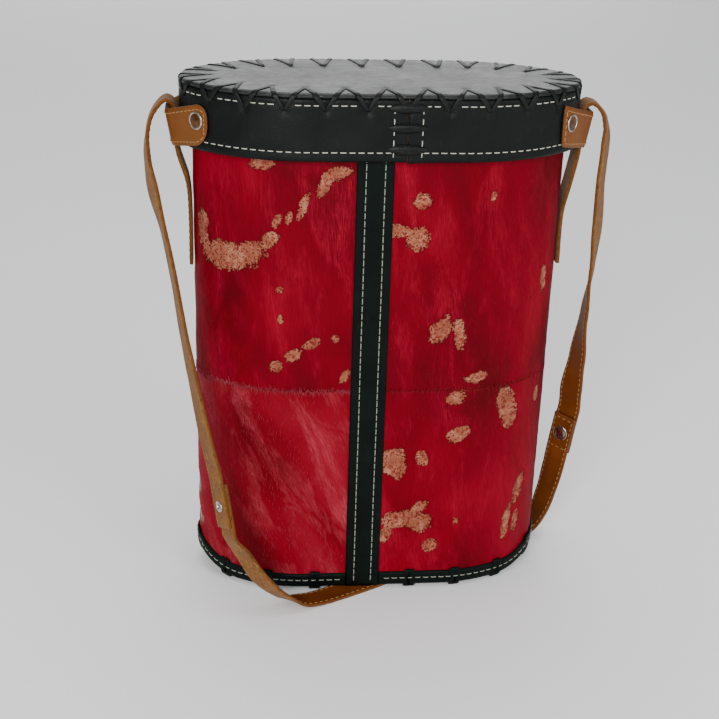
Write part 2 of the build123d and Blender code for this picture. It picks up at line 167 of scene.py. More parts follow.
class Mesh:
    """Collects tubes into one mesh, with a UV map in metres."""

    def __init__(self, name):
        self.name = name
        self.verts = []
        self.faces = []
        self.kinds = []
        self.uvs = []
        self.values = []

    def tube(self, rings, cap=True, kinds=None, values=None):
        """Joins closed rings of points into a skin. kinds gives a material index for each side of a ring."""
        count = len(rings[0])
        kinds = kinds or [0] * count
        first = len(self.verts)
        along = 0
        for i, ring in enumerate(rings):
            if i:
                along += (ring[0] - rings[i - 1][0]).length
            around = 0
            for j, p in enumerate(ring):
                if j:
                    around += (p - ring[j - 1]).length
                self.verts.append(p * MM)
                self.uvs.append((around * MM, along * MM))
                self.values.append(values[i][j] if values else 0)
        last = first + (len(rings) - 1) * count
        for a in range(first, last, count):
            for j in range(count):
                k = (j + 1) % count
                self.faces.append((a + j, a + k, a + count + k, a + count + j))
                self.kinds.append(kinds[j])
        if cap:
            self.faces.append(tuple(first + j for j in reversed(range(count))))
            self.faces.append(tuple(last + j for j in range(count)))
            self.kinds += [kinds[0]] * 2

    def build(self, materials, value_name=None, merge=0):
        """Makes the object. Points closer than merge are joined, and the faces are turned outwards."""
        data = bpy.data.meshes.new(self.name)
        data.from_pydata([tuple(v) for v in self.verts], [], self.faces)
        layer = data.uv_layers.new(name="surface")
        for loop in data.loops:
            layer.data[loop.index].uv = self.uvs[loop.vertex_index]
        for polygon, kind in zip(data.polygons, self.kinds):
            polygon.material_index = kind
            polygon.use_smooth = True
        if value_name:
            attribute = data.attributes.new(value_name, "FLOAT", "POINT")
            attribute.data.foreach_set("value", self.values)
        for material in materials:
            data.materials.append(material)
        data.validate()
        work = bmesh.new()
        work.from_mesh(data)
        if merge:
            bmesh.ops.remove_doubles(work, verts=work.verts, dist=merge)
        bmesh.ops.recalc_face_normals(work, faces=work.faces)
        work.to_mesh(data)
        work.free()
        return new_object(self.name, data)


def place_along(runs, run):
    """The later of the two stations that a running length is between, and its share of the way to it."""
    run = max(0.0, min(runs[-1], run))
    i = next((n for n in range(1, len(runs)) if runs[n] >= run), len(runs) - 1)
    return i, (run - runs[i - 1]) / max(runs[i] - runs[i - 1], 1e-6)


def ribbon_rings(points, normals, half_width, half_height, sides=8, squareness=1):
    """Rings of a flattened strand along a path. half_width and half_height are functions of 0 to 1."""
    rings = []
    last = len(points) - 1
    for i, (point, normal) in enumerate(zip(points, normals)):
        course = (points[min(i + 1, last)] - points[max(i - 1, 0)]).normalized()
        across = course.cross(normal).normalized()
        up = across.cross(course).normalized()
        t = i / last
        ring = []
        for k in range(sides):
            angle = 2 * math.pi * (k + 0.5) / sides
            c, s = math.cos(angle), math.sin(angle)
            c = math.copysign(abs(c) ** squareness, c)
            s = math.copysign(abs(s) ** squareness, s)
            ring.append(point + across * (c * half_width(t)) + up * (s * half_height(t)))
        rings.append(ring)
    return rings


def section(low, high, depth, rows, round_edge, outer):
    """A closed profile of (inset, height): outer face upwards with rounded edges, then the inner face."""
    profile = []
    for i in range(rows + 1):
        z = low + (high - low) * i / rows
        near = min(z - low, high - z)
        drop = 0
        if near < round_edge:
            drop = round_edge - math.sqrt(max(0, round_edge**2 - (round_edge - near) ** 2))
        profile.append((outer + drop, z))
    profile.append((outer + depth, high))
    profile.append((outer + depth, low))
    return profile


# ---- stitches ----
thread_half_width = 0.3625
thread_half_height = 0.261
stitch_rise = 0.32
stitch_dive = 0.75


def stitches(mesh, place, start, end, skip=None, pitch=stitch_pitch, length=stitch_length):
    """Adds a row of stitches. place(distance) gives a surface point and its outward normal."""
    count = max(1, int(abs(end - start) / pitch))
    step = (end - start) / count
    for k in range(count):
        middle = start + (k + 0.5) * step
        if skip and skip(middle):
            continue
        half = 0.5 * length * (step / abs(step)) * random.uniform(0.92, 1.05)
        points = []
        normals = []
        for share in (-1, -0.82, -0.4, 0, 0.4, 0.82, 1):
            point, normal = place(middle + half * share)
            points.append(point + normal * (stitch_rise - stitch_dive * abs(share) ** 4))
            normals.append(normal)
        mesh.tube(ribbon_rings(points, normals, lambda t: thread_half_width, lambda t: thread_half_height, 6))


# ---- materials ----
class Look:
    """A material, with short ways to add nodes. A value is a number, a colour or another node's output."""

    def __init__(self, name, coords="Object"):
        self.material = bpy.data.materials.new(name)
        self.material.use_nodes = True
        self.tree = self.material.node_tree
        self.vector = self.add("TexCoord", coords, {})

    def feed(self, socket, value):
        """Links a socket, or sets it to a constant."""
        if isinstance(value, bpy.types.NodeSocket):
            self.tree.links.new(value, socket)
        elif socket.type == "RGBA":
            socket.default_value = (*value, 1)
        else:
            socket.default_value = value

    def add(self, kind, output, inputs, **settings):
        """The output of a new node."""
        node = self.tree.nodes.new("ShaderNode" + kind)
        for name, value in settings.items():
            setattr(node, name, value)
        for name, value in inputs.items():
            self.feed(node.inputs[name], value)
        return node.outputs[output]

    def noise(self, scale, detail, rough, warp=0, stretch=None, vector=None):
        """A noise value, drawn out along an axis where stretch is less than one."""
        vector = vector or self.vector
        if stretch:
            vector = self.add("Mapping", "Vector", {"Vector": vector, "Scale": stretch})
        inputs = {"Vector": vector, "Scale": scale, "Detail": detail, "Roughness": rough, "Distortion": warp}
        return self.add("TexNoise", "Fac", inputs)

    def cells(self, scale):
        """The distance to the nearest of many scattered points."""
        return self.add("TexVoronoi", "Distance", {"Vector": self.vector, "Scale": scale})

    def ramp(self, value, *stops):
        """Colours for a value, from (position, colour) stops."""
        node = self.tree.nodes.new("ShaderNodeValToRGB")
        elements = node.color_ramp.elements
        while len(elements) < len(stops):
            elements.new(0.5)
        for element, (position, colour) in zip(elements, stops):
            element.position = position
            element.color = (*colour, 1)
        self.feed(node.inputs["Fac"], value)
        return node.outputs["Color"]

    def span(self, value, low, high, to_low=0, to_high=1, kind="LINEAR"):
        """A value mapped from one range to another."""
        inputs = {"Value": value, "From Min": low, "From Max": high, "To Min": to_low, "To Max": to_high}
        return self.add("MapRange", "Result", inputs, interpolation_type=kind)

    def math(self, a, b, kind="MULTIPLY"):
        """Two values combined."""
        return self.add("Math", "Value", {0: a, 1: b}, operation=kind)

    def mix(self, share, a, b, kind="MIX"):
        """Two colours mixed by a share."""
        node = self.tree.nodes.new("ShaderNodeMix")
        node.data_type = "RGBA"
        node.blend_type = kind
        colours = [socket for socket in node.inputs if socket.type == "RGBA"]
        for socket, value in zip((node.inputs["Factor"], *colours), (share, a, b)):
            self.feed(socket, value)
        return next(socket for socket in node.outputs if socket.type == "RGBA")

    def bump(self, height, distance, strength, *before):
        """A bump from a height value, on top of an earlier one."""
        inputs = {"Height": height, "Distance": distance, "Strength": strength}
        if before:
            inputs["Normal"] = before[0]
        return self.add("Bump", "Normal", inputs)

    def finish(self, inputs):
        """Sets the shader's inputs and gives the material."""
        shader = self.tree.nodes["Principled BSDF"]
        for name, value in inputs.items():
            self.feed(shader.inputs[name], value)
        return self.material


def leather(name, dark, light, rough, gloss, grain=0.00012, wear=None, pore_scale=900, coords="Object"):
    """Smooth grained leather with pores, soft creases and uneven colour."""
    look = Look(name, coords)
    mottle = look.noise(38, 4, 0.6)
    creases = look.noise(160, 5, 0.65, 0.6)
    colour = look.ramp(mottle, (0.3, dark), (0.72, light))
    if wear:
        scuffs = look.noise(210, 6, 0.7, 0, (1, 1, 0.35))
        colour = look.mix(look.span(scuffs, 0.60, 0.74, 0, 0.5), colour, wear)
    uneven = look.math(mottle, creases, "ADD")
    pores = look.bump(look.cells(pore_scale), grain, 0.7)
    return look.finish(
        {
            "Base Color": colour,
            "Specular IOR Level": gloss,
            "Roughness": look.span(uneven, 0.7, 1.3, rough - 0.07, rough + 0.09),
            "Normal": look.bump(creases, grain * 3, 0.5, pores),
        }
    )


def suede(name, dark, light, fibre_highlight, coords="UV"):
    """The flesh side of leather: matt and fuzzy, flecked with a painted highlight on its raised fibres and
    painted shade between them.
    """
    look = Look(name, coords)
    fuzz = look.noise(620, 5, 0.78, 1.2, (1, 0.45, 1))
    colour = look.ramp(look.noise(60, 4, 0.6), (0.3, dark), (0.7, light))
    # Lighter on the raised fibres: a painted highlight.
    colour = look.mix(look.span(fuzz, 0.56, 0.68), colour, fibre_highlight)
    # Darker in the hollows between the fibres: painted shade.
    colour = look.mix(look.span(fuzz, 0.46, 0.38), colour, tuple(c * 0.5 for c in dark))
    return look.finish(
        {
            "Base Color": colour,
            "Roughness": 0.92,
            "Specular IOR Level": 0.15,
            "Sheen Weight": 0.08,
            "Normal": look.bump(fuzz, 0.0004, 0.8),
        }
    )


def thread(name, colour):
    """Waxed twisted thread."""
    look = Look(name)
    twist = look.noise(2600, 2, 0.5)
    # Darker in the twist's grooves: painted shade.
    shade = look.ramp(twist, (0.3, tuple(c * 0.72 for c in colour)), (0.65, colour))
    return look.finish({"Base Color": shade, "Roughness": 0.62, "Normal": look.bump(twist, 0.00015, 0.6)})


def plated(name, dark, light):
    """Metal plate, a little tarnished and scratched."""
    look = Look(name)
    haze = look.noise(300, 5, 0.65)
    scratches = look.noise(500, 3, 0.6, 0, (1, 1, 9))
    return look.finish(
        {
            "Base Color": look.ramp(haze, (0.3, dark), (0.65, light)),
            "Metallic": 1,
            "Roughness": look.span(haze, 0.3, 0.75, 0.34, 0.16),
            "Normal": look.bump(scratches, 0.00004, 0.4),
        }
    )


def hair_hide(name, deep, mid, bright, lock_sheen, lie_tilt):
    """Short dyed hair lying downwards, with bare speckled skin where the mesh says so."""
    look = Look(name)
    combed = look.add("Mapping", "Vector", {"Vector": look.vector, "Rotation": (0, lie_tilt, 0)})
    # Broad clouds of deeper and brighter dye.
    cloud = look.noise(15, 3, 0.5, 0.5, (1, 1, 0.55), combed)
    colour = look.ramp(cloud, (0.30, deep), (0.48, mid), (0.68, bright))
    # Locks of hair that catch the light, and the single hairs in them: a painted highlight on the locks, and
    # painted shade between the hairs.
    locks = look.noise(48, 4, 0.62, 0.8, (1, 1, 0.28), combed)
    hairs = look.noise(1500, 4, 0.75, 0.5, (1, 1, 0.07), combed)
    lit = look.math(look.span(locks, 0.47, 0.72), look.span(hairs, 0.38, 0.66))
    colour = look.mix(lit, colour, lock_sheen)
    shade = look.span(hairs, 0.28, 0.6, 0.80, 1.06)
    grey = look.add("CombineColor", "Color", {0: shade, 1: shade, 2: shade})
    colour = look.mix(1, colour, grey, "MULTIPLY")
    # Bare skin: the edge is ragged, and breaks up into specks where the soft noise is high.
    bare = look.add("Attribute", "Fac", {}, attribute_name="bare")
    ragged = look.noise(240, 5, 0.78, 1, (1, 1, 0.45))
    spread = look.span(look.noise(55, 2, 0.5), 0.35, 0.65, 0.25, 1)
    loose = look.math(look.span(look.cells(620), 0.12, 0.55, -0.42, 0.42), spread)
    torn = look.math(look.span(ragged, 0.3, 0.7, -0.36, 0.36), loose, "ADD")
    torn = look.math(torn, look.span(bare, 0, 0.30, 0.48, 1))
    shown = look.span(look.math(bare, torn, "ADD"), 0.47, 0.55, kind="SMOOTHSTEP")
    # The hair is darkest just round a patch.
    rim = look.math(look.span(bare, 0.10, 0.40), look.span(bare, 0.45, 0.75, 1, 0.2))
    colour = look.mix(look.math(rim, 0.6), colour, tuple(c * 0.8 for c in deep))
    # The skin has a cloudy tone, and stubble and dots of the dye.
    skin = look.ramp(look.noise(95, 5, 0.72), (0.30, skin_dark), (0.5, skin_mid), (0.70, skin_light))
    skin = look.mix(look.span(look.noise(1300, 3, 0.7), 0.50, 0.62, 0, 0.6), skin, mid)
    skin = look.mix(look.span(look.cells(480), 0.18, 0.36, 0.85, 0), skin, deep)
    skin = look.mix(look.span(look.noise(420, 3, 0.6), 0.53, 0.62, 0, 0.8), skin, mid)
    pile = look.bump(look.math(hairs, look.span(shown, 0, 1, 1, 0.2)), 0.0003, 0.6)
    waves = look.bump(locks, 0.0035, 0.5, pile)
    return look.finish(
        {
            "Base Color": look.mix(shown, colour, skin),
            "Specular IOR Level": 0.05,
            "Roughness": look.span(shown, 0, 1, 0.58, 0.36),
            "Normal": look.bump(shown, -0.0004, 0.7, waves),
        }
    )


skin_dark = (0.165, 0.045, 0.022)
skin_mid = (0.26, 0.090, 0.048)
skin_light = (0.40, 0.185, 0.110)
black_wear = (0.012, 0.014, 0.013)
trim_wear = (0.008, 0.013, 0.011)
top_wear = (0.035, 0.040, 0.035)
black_tones = ((0.0014, 0.0021, 0.0018), (0.0036, 0.0048, 0.0043))
trim_tones = ((0.0007, 0.0023, 0.0016), (0.0020, 0.0050, 0.0038))
top_tones = ((0.0040, 0.0050, 0.0042), (0.0095, 0.0112, 0.0096))
black = leather("black_leather", *black_tones, 0.44, 0.12, wear=black_wear)
black_trim = leather("black_trim", *trim_tones, 0.48, 0.07, wear=trim_wear)
black_top = leather("black_top_leather", *top_tones, 0.36, 0.42, 0.00016, top_wear)
lace_black = leather("lace_leather", (0.0016, 0.0021, 0.0018), (0.0048, 0.0058, 0.0050), 0.42, 0.16, 0.0002)
raw_edge = leather("raw_edge", (0.016, 0.007, 0.003), (0.060, 0.026, 0.010), 0.8, 0.1)
tan_grain = leather(
    "tan_grain", (0.080, 0.0185, 0.0022), (0.135, 0.034, 0.0042), 0.5, 0.1, pore_scale=1100, coords="UV"
)
keeper_tan = leather(
    "keeper_tan", (0.105, 0.031, 0.0026), (0.165, 0.051, 0.0048), 0.42, 0.2, pore_scale=1100, coords="UV"
)
# The third colour of each suede is the painted highlight on its raised fibres.
tan_suede = suede("tan_suede", (0.115, 0.042, 0.0050), (0.20, 0.078, 0.0100), (0.34, 0.165, 0.035))
tan_edge = suede("tan_edge", (0.085, 0.028, 0.0040), (0.145, 0.050, 0.0075), (0.22, 0.095, 0.020))
lining_suede = suede("lining_suede", (0.11, 0.062, 0.032), (0.17, 0.10, 0.055), (0.24, 0.16, 0.095), "Object")
board_tan = leather("board_leather", (0.12, 0.070, 0.034), (0.20, 0.125, 0.064), 0.7, 0.3)
white_thread = thread("white_thread", (0.46, 0.45, 0.38))
grey_thread = thread("grey_thread", (0.24, 0.26, 0.20))
tan_thread = thread("tan_thread", (0.30, 0.16, 0.05))
metal = plated("nickel", (0.22, 0.18, 0.14), (0.52, 0.49, 0.45))
# Brown metal for the keeper rivets' dished middles: a painted reflection of the tan leather round them.
painted_leather_reflection = plated("painted_leather_reflection", (0.060, 0.022, 0.010), (0.20, 0.085, 0.040))
# Three tones of dye for each hide, then the colour of the painted highlight on its locks.
deep_dyes_and_sheen = ((0.066, 0, 0.0022), (0.125, 0, 0.0046), (0.185, 0, 0.0080), (0.26, 0.004, 0.018))
light_dyes_and_sheen = ((0.095, 0, 0.0025), (0.175, 0.0012, 0.0080), (0.235, 0.0065, 0.018), (0.37, 0.050, 0.070))
deep_hide = hair_hide("hair_hide_deep", *deep_dyes_and_sheen, 0.10)
light_hide = hair_hide("hair_hide_light", *light_dyes_and_sheen, 0.42)
pink_hair = leather("pink_hair", (0.22, 0.014, 0.026), (0.36, 0.060, 0.082), 0.6, 0.1)
red_hair = leather("red_hair", (0.13, 0, 0.004), (0.26, 0.008, 0.016), 0.55, 0.2)

# ---- camera ----
camera_target = Vector((-0.0096, 0, 0.1667))
camera_yaw = -0.1106
camera_pitch = 0.4023
camera_roll = 0.0319
camera_distance = 0.997
camera_lens = 66.2

back = Vector((math.sin(camera_yaw), -math.cos(camera_yaw), 0)) * math.cos(camera_pitch)
back += UP * math.sin(camera_pitch)
level = UP.cross(back).normalized()
upright = back.cross(level)
right_axis = level * math.cos(camera_roll) + upright * math.sin(camera_roll)
up_axis = upright * math.cos(camera_roll) - level * math.sin(camera_roll)
camera_data = bpy.data.cameras.new("camera")
camera_data.lens = camera_lens
camera_data.sensor_width = 36
camera_data.clip_start = 0.01
camera_data.clip_end = 50
camera = new_object("camera", camera_data)
turn = Matrix((right_axis, up_axis, back)).transposed().to_4x4()
camera.matrix_world = Matrix.Translation(camera_target + back * camera_distance) @ turn
bpy.context.scene.camera = camera

# ---- lights and floor ----
# Each light's place, the height that it is turned to, its size and its power.
lights = {
    "key": ((-0.7, -2.3, 1.15), 0.2, 1.3, 70),
    "fill": ((1.7, -1.6, 0.9), 0.2, 1.4, 26),
    "top_panel": ((0, 0.3, 2.4), 0.2, 1.6, 22),
    "sky_panel": ((0, 3.3, 1.80), 0.38, 3.2, 46),
}
for light_name, (light_place, aim_height, light_size, light_power) in lights.items():
    light_data = bpy.data.lights.new(light_name, "AREA")
    light_data.size = light_size
    light_data.energy = light_power
    lamp = new_object(light_name, light_data)
    lamp.location = light_place
    lamp.rotation_euler = (UP * aim_height - Vector(light_place)).to_track_quat("-Z", "Y").to_euler()

world = bpy.data.worlds.new("studio")
world.use_nodes = True
sky = world.node_tree.nodes["Background"]
sky.inputs["Color"].default_value = (0.96, 0.97, 1, 1)
sky.inputs["Strength"].default_value = 0.42
bpy.context.scene.world = world

floor_half = 9
floor_corners = [(x * floor_half, y * floor_half, 0) for x, y in ((-1, -1), (1, -1), (1, 1), (-1, 1))]
floor_data = bpy.data.meshes.new("floor")
floor_data.from_pydata(floor_corners, [], [(0, 1, 2, 3)])
floor_data.materials.append(Look("floor_paper").finish({"Base Color": (0.90, 0.90, 0.90), "Roughness": 0.9}))
floor = new_object("floor", floor_data)

# ---- lid lacing layout, shared by the panel, the skirt and the thongs ----
lace_pitch = lid_round / lace_count
edge_half = edge_radius * math.pi / 4
hole_pinch = 0.9
panel_pinch = 1
leg_pinch = 0.75


def fold(distance, height, lift):
    """A point on the lid's folded surface and its normal. height is 0 on the rounded edge, positive
    inwards over the top and negative down the skirt."""
    if height <= -edge_half:
        angle = 0
        inset = -lift
        z = lid_z - edge_radius + height + edge_half
    elif height >= edge_half:
        angle = math.pi / 2
        inset = edge_radius + height - edge_half
        z = lid_z + lift
    else:
        angle = (height + edge_half) / edge_radius
        inset = edge_radius - (edge_radius + lift) * math.cos(angle)
        z = lid_z - edge_radius + (edge_radius + lift) * math.sin(angle)
    point, out = outline(distance, inset)
    return point + UP * z, out * math.cos(angle) + UP * math.sin(angle)


def nearest_gap(distance, first):
    """Signed distance to the nearest lacing hole of a row that has one at first."""
    return (distance - first + lace_pitch / 2) % lace_pitch - lace_pitch / 2


def reach_at(distance):
    """How far a thong reaches in over the top: further at the back than at the front."""
    rear = max(0, outline(distance)[0].y / half_depth)
    return lace_reach + lace_rear_extra * rear**2


def leg_share(height, reach):
    """A leg's way from its skirt hole to its panel hole, from 0 to 1, at a height on the folded surface."""
    if height < 0:
        return 0.5 * (height + lace_drop) / lace_drop
    return 0.5 + 0.5 * height / reach


def pinch(distance, height):
    """How deep the lacing pulls the leather in."""
    reach = reach_at(distance)
    hole_gap = nearest_gap(distance, seam_x)
    top_gap = nearest_gap(distance, seam_x + lace_pitch / 2)
    deep = hole_pinch * math.exp(-(hole_gap**2 + (height + lace_drop) ** 2) / 7)
    deep += panel_pinch * math.exp(-(top_gap**2 + (height - reach) ** 2) / 9)
    if -lace_drop <= height <= reach:
        leg = abs(abs(hole_gap) - leg_share(height, reach) * lace_pitch / 2)
        deep += leg_pinch * math.exp(-((leg / 2.6) ** 2)) * math.exp(-((height / 7) ** 2))
    return deep


def surface(distance, height, lift=0):
    """A point of the lid's leather, with its pinches and slight unevenness."""
    point, normal = fold(distance, height, lift)
    uneven = 0.25 * wobble(point.x, point.y, point.z, 22)
    uneven += 0.1 * wobble(point.x, point.y, point.z, 7, 3)
    return point + normal * (uneven - pinch(distance, height)), normal


# ---- lid: top panel ----
def build_lid_top():
    around = 700
    leather_lift = 0.15
    distances = [k * lid_round / around for k in range(around)]
    seam_height = -edge_half - (edge_radius - (lid_z - panel_z)) - 0.05
    heights = [seam_height + 0.35, seam_height + 0.9, -1.6, -0.8, 0, 0.8, 1.6, 2.4, 3.2, 4.2, 5.4, 7, 8.8]
    heights += [10.8, 12.6, 14.2, 15.6, 16.8, 17.9, 18.8, 19.6, 20.4, 21.4, 22.8, 24.6, 27, 30]
    rows = [[surface(distance, height, leather_lift)[0] for distance in distances] for height in heights]
    # Inside the lacing, the panel runs in to a line along its middle.
    inner_edge = rows[-1]
    for share in (0.25, 0.5, 0.75, 1):
        row = []
        for p in inner_edge:
            q = p.lerp(Vector((p.x * 0.86, 0, lid_z + leather_lift)), share)
            q.z += 0.25 * wobble(q.x, q.y, 0, 26, 5) * share
            row.append(q)
        rows.append(row)
    under_z = panel_z + 0.02
    middle = [Vector((p.x, p.y, under_z)) for p in rows[-1]]
    margin = [outline(distance, 1.2)[0] + UP * under_z for distance in distances]
    mesh = Mesh("lid_top_leather")
    mesh.tube([middle, margin] + rows, cap=False)
    settle(mesh.build([black_top], merge=0.00002), "lid", "lid_top")


# ---- lid: skirt with its slit ----
lower_stitch_z = skirt_z + 6.4
upper_stitch_z = lid_z - 7.6


def stitch_channel(z):
    """The grooves that the two long rows of stitches pull into the skirt."""
    lower = 0.25 * math.exp(-(((z - lower_stitch_z) / 1.3) ** 2))
    upper = 0.2 * math.exp(-(((z - upper_stitch_z) / 1.3) ** 2))
    return -lower - upper


def skirt_shift(distance, z):
    """How far unevenness and pinches move the skirt's face at a height, and the way that it faces."""
    height = z - (lid_z - edge_radius) - edge_half
    point, normal = surface(distance, height)
    shift = point - fold(distance, height, 0)[0]
    return Vector((shift.x, shift.y, 0)), normal


def build_skirt():
    around = 720
    rows = 30
    top = panel_z - 0.1
    tall = top - skirt_z
    slit = 0.45
    rings = []
    for k in range(around + 1):
        distance = seam_x + slit + (lid_round - 2 * slit) * k / around
        end_gap = min(k, around - k) * lid_round / around
        # One free end hangs a little, and both stand off.
        sag = math.exp(-end_gap / 14) if k < around / 2 else 0
        stand = 0.5 * math.exp(-end_gap / 6)
        ring = []
        for inset, z in section(skirt_z, top, skirt_thickness - 0.1, rows, 0.8, 0):
            point = outline(distance, inset)[0] + UP * (z - sag * (top - z) / tall)
            if inset < skirt_thickness * 0.5:
                shift, normal = skirt_shift(distance, z)
                point += shift + normal * (stitch_channel(z) + stand)
            ring.append(point)
        rings.append(ring)
    mesh = Mesh("lid_skirt_leather")
    mesh.tube(rings)
    settle(mesh.build([black]), "lid", "lid_skirt")


def build_skirt_stitches():
    mesh = Mesh("lid_stitches")
    margin = 9.5
    thong_gap = 5.2
    ends = (seam_x + margin, seam_x + lid_round - margin)

    def on_skirt(z):
        def place(distance):
            point, normal = outline(distance)
            return point + skirt_shift(distance, z)[0] + UP * z + normal * stitch_channel(z), normal

        return place

    def at_thong(distance):
        return abs(nearest_gap(distance, seam_x)) < thong_gap

    stitches(mesh, on_skirt(lower_stitch_z), *ends)
    stitches(mesh, on_skirt(upper_stitch_z), *ends, at_thong)
    for side in (-1, 1):
        point, normal = outline(seam_x + side * margin)

        def beside_seam(z, point=point, normal=normal):
            return point + UP * z + normal * 0.02, normal

        stitches(mesh, beside_seam, skirt_z + 2, panel_z - 4)
    settle(mesh.build([white_thread]), "lid")


# ---- lid: zigzag lacing ----
def build_lid_lacing():
    mesh = Mesh("lid_edge_lacing_thongs")
    steps = 22
    for k in range(lace_count):
        hole = seam_x + k * lace_pitch
        for way in (-1, 1):
            start = hole + random.uniform(-0.5, 0.5)
            end = hole + way * lace_pitch / 2 + random.uniform(-0.4, 0.4)
            reach = reach_at(end) + random.uniform(-0.8, 0.6)
            half_width = random.uniform(1.55, 1.85)
            points = []
            normals = []
            for i in range(steps + 1):
                t = i / steps
                height = -lace_drop + (reach + lace_drop) * t
                distance = start + (end - start) * leg_share(height, reach)
                point, normal = surface(distance, height, 0.30)
                relief = 0.15 * math.exp(-((height / 5) ** 2))
                dip = 1.5 * max(0, abs(t - 0.5) * 2 - 0.86) / 0.14
                points.append(point + normal * (pinch(distance, height) * 0.55 + relief - dip))
                normals.append(normal)

            def taper(t, half_width=half_width):
                return half_width * (1 - 0.45 * abs(2 * t - 1) ** 5)

            mesh.tube(ribbon_rings(points, normals, taper, lambda t: 0.46, 12, 0.6))
    settle(mesh.build([lace_black]), "lid", "lid_edge_lacing")


# Each wrap over the seam has three strands: their middle's offset, half width and extra height.
seam_wrap_drops = (9, 22, 36.4)
seam_strands = ((2, 2.2, 0), (0.1, 2.2, 0.4), (-2, 2.1, 0))


def build_seam_lacing():
    low, high = node_box("lid_seam_lacing")
    reach = (high.x - low.x) / 2
    mesh = Mesh("lid_seam_thongs")
    steps = 26
    for height in [lid_z - drop for drop in seam_wrap_drops]:
        for offset, half_width, stand in seam_strands:
            points = []
            for i in range(steps + 1):
                t = i / steps
                edge = abs(2 * t - 1)
                x = seam_x + reach * (2 * t - 1)
                arch = (1 - edge**2.6) * (0.75 + stand)
                z = height + offset * (1 - edge**2) + 0.3 * math.sin(5 * t + height + offset)
                points.append(Vector((x, -half_depth - 0.1 - arch + 0.9 * edge**8, z)))
            normals = [Vector((0, -1, 0.3 * offset)).normalized()] * len(points)

            def taper(t, half_width=half_width):
                return half_width * (0.3 + 0.7 * (1 - abs(2 * t - 1) ** 2) ** 0.7)

            mesh.tube(ribbon_rings(points, normals, taper, lambda t: 0.7 - 0.25 * abs(2 * t - 1), 10, 0.8))
    settle(mesh.build([lace_black]), "lid", "lid_seam_lacing")


# ---- case: hide panels ----
# Bare patches: distance round the case from the front's middle, height, half width, half height, lean.
front_patches = (
    # upper left panel
    (-118, 262, 22, 9, 0.05),
    (-98, 267, 12, 7, 0.3),
    (-83, 277, 9, 5, 0.5),
    (-143, 278, 7, 11, 0),
    (-89, 330, 9, 4, 0),
    (-35, 325, 9, 4, 0.2),
    (-43, 316, 4, 7, -0.5),
    (-57, 303, 3, 9, -0.35),
    (-68, 294, 2, 4, -0.3),
    (-77, 291, 3, 5, -0.5),
    (-74, 242, 3, 2, 0),
    (-74, 220, 2.5, 3, 0),
    (-77, 184, 4.5, 4, -0.2),
    (-63, 193, 6, 4.5, 0.4),
    (-50, 202, 7, 3, 0.45),
    (-33, 206, 2.5, 2, 0),
    (-26, 177, 2.5, 6, -0.5),
    # upper right panel
    (24, 306, 6, 5, 0),
    (76, 309, 2, 3.5, -0.2),
    (8, 285, 7, 4, 0),
    (22, 279, 7, 8, -0.3),
    (42, 212, 7, 10, -0.4),
    (56, 209, 4, 12, 0.2),
    (132, 240, 3, 9, 0),
    (71, 174, 8, 3.5, 0.1),
    # lower right panel
    (57, 159, 7, 5, 0.3),
    (102, 146, 8, 17, 0.35),
    (137, 148, 3, 6, -0.3),
    (60, 129, 8.5, 5.5, 0.35),
    (12, 107, 8, 11, 0),
    (33, 110, 4.5, 5.5, 0),
    (122, 73, 4, 12, -0.3),
    (111, 47, 4, 12, -0.15),
    (121, 44, 3, 8, -0.15),
    (20, 60, 14, 6, 0.15),
    (33, 69, 8, 4, 0.6),
    (34, 56, 8, 7, 0),
    (8, 47, 3.5, 6.5, -0.2),
    (42, 36, 4.5, 5, 0),
    (62, 57, 2, 2.5, 0),
)
# The sides and the back have scattered patches, within these limits.
patch_limits = ((160, lid_round - 160), (30, 345), (4, 18), (4, 11), (-0.5, 0.5))
rear_patch_count = 34
patch_field = list(front_patches)
patch_field += [tuple(random.uniform(*pair) for pair in patch_limits) for _ in range(rear_patch_count)]


def bareness(distance, z):
    """How bare the hide is: above about a half there is no hair."""
    most = 0
    for centre, height, wide, tall, lean in patch_field:
        across = (distance - centre + lid_round / 2) % lid_round - lid_round / 2
        up = z - height
        if abs(across) > wide * 2.2 or abs(up) > tall * 2.6:
            continue
        u = (across + lean * up) / wide
        v = (up - lean * across) / tall
        ragged = 0.42 * wobble(distance, 0, z, 7, 11) + 0.25 * wobble(distance, 0, z, 3, 5)
        most = max(most, 1.08 - 0.55 * (u * u + v * v) + ragged)
    return max(0, min(1, most))


def build_hide(node, start, end, low, high, material, slot):
    step = 1.7
    columns = int((end - start) / step)
    rows = int((high - low) / step)
    rings = []
    values = []
    for k in range(columns + 1):
        distance = start + (end - start) * k / columns
        x = outline(distance, hide_inset)[0].x
        foot = low + (base_rise(x) if low < seam_z - 1 else 0)
        ring = []
        bare_row = []
        for inset, z in section(foot, high, hide_thickness - 0.1, rows, 0.35, hide_inset):
            bare = bareness(distance, z)
            point, normal = outline(distance, inset)
            if inset < hide_inset + hide_thickness * 0.7:
                tuft = 0.22 * wobble(distance, 0, z * 0.3, 3) + 0.35 * wobble(distance, 0, z, 25, 2)
                point += normal * (tuft - 0.55 * max(0, min(1, (bare - 0.3) * 3)))
            ring.append(point + UP * z)
            bare_row.append(bare)
        rings.append(ring)
        values.append(bare_row)
    mesh = Mesh(node + "_hair")
    mesh.tube(rings, values=values)
    settle(mesh.build([material], "bare"), "case", node)


def build_hides():
    back_seam = lid_round / 2 - strip_x
    foot = node_box("hide_lower_left")[0].z
    sides = {"right": (strip_x, back_seam), "left": (back_seam, lid_round + strip_x)}
    for side, ends in sides.items():
        build_hide("hide_upper_" + side, *ends, seam_z, wall_z, deep_hide, "hair_hide_deep")
        paint = (deep_hide, "hair_hide_deep") if side == "right" else (light_hide, "hair_hide_light")
        build_hide("hide_lower_" + side, *ends, foot, seam_z, *paint)


# ---- case: strips, binding and their stitches ----
strip_stitch_margin = 6.3


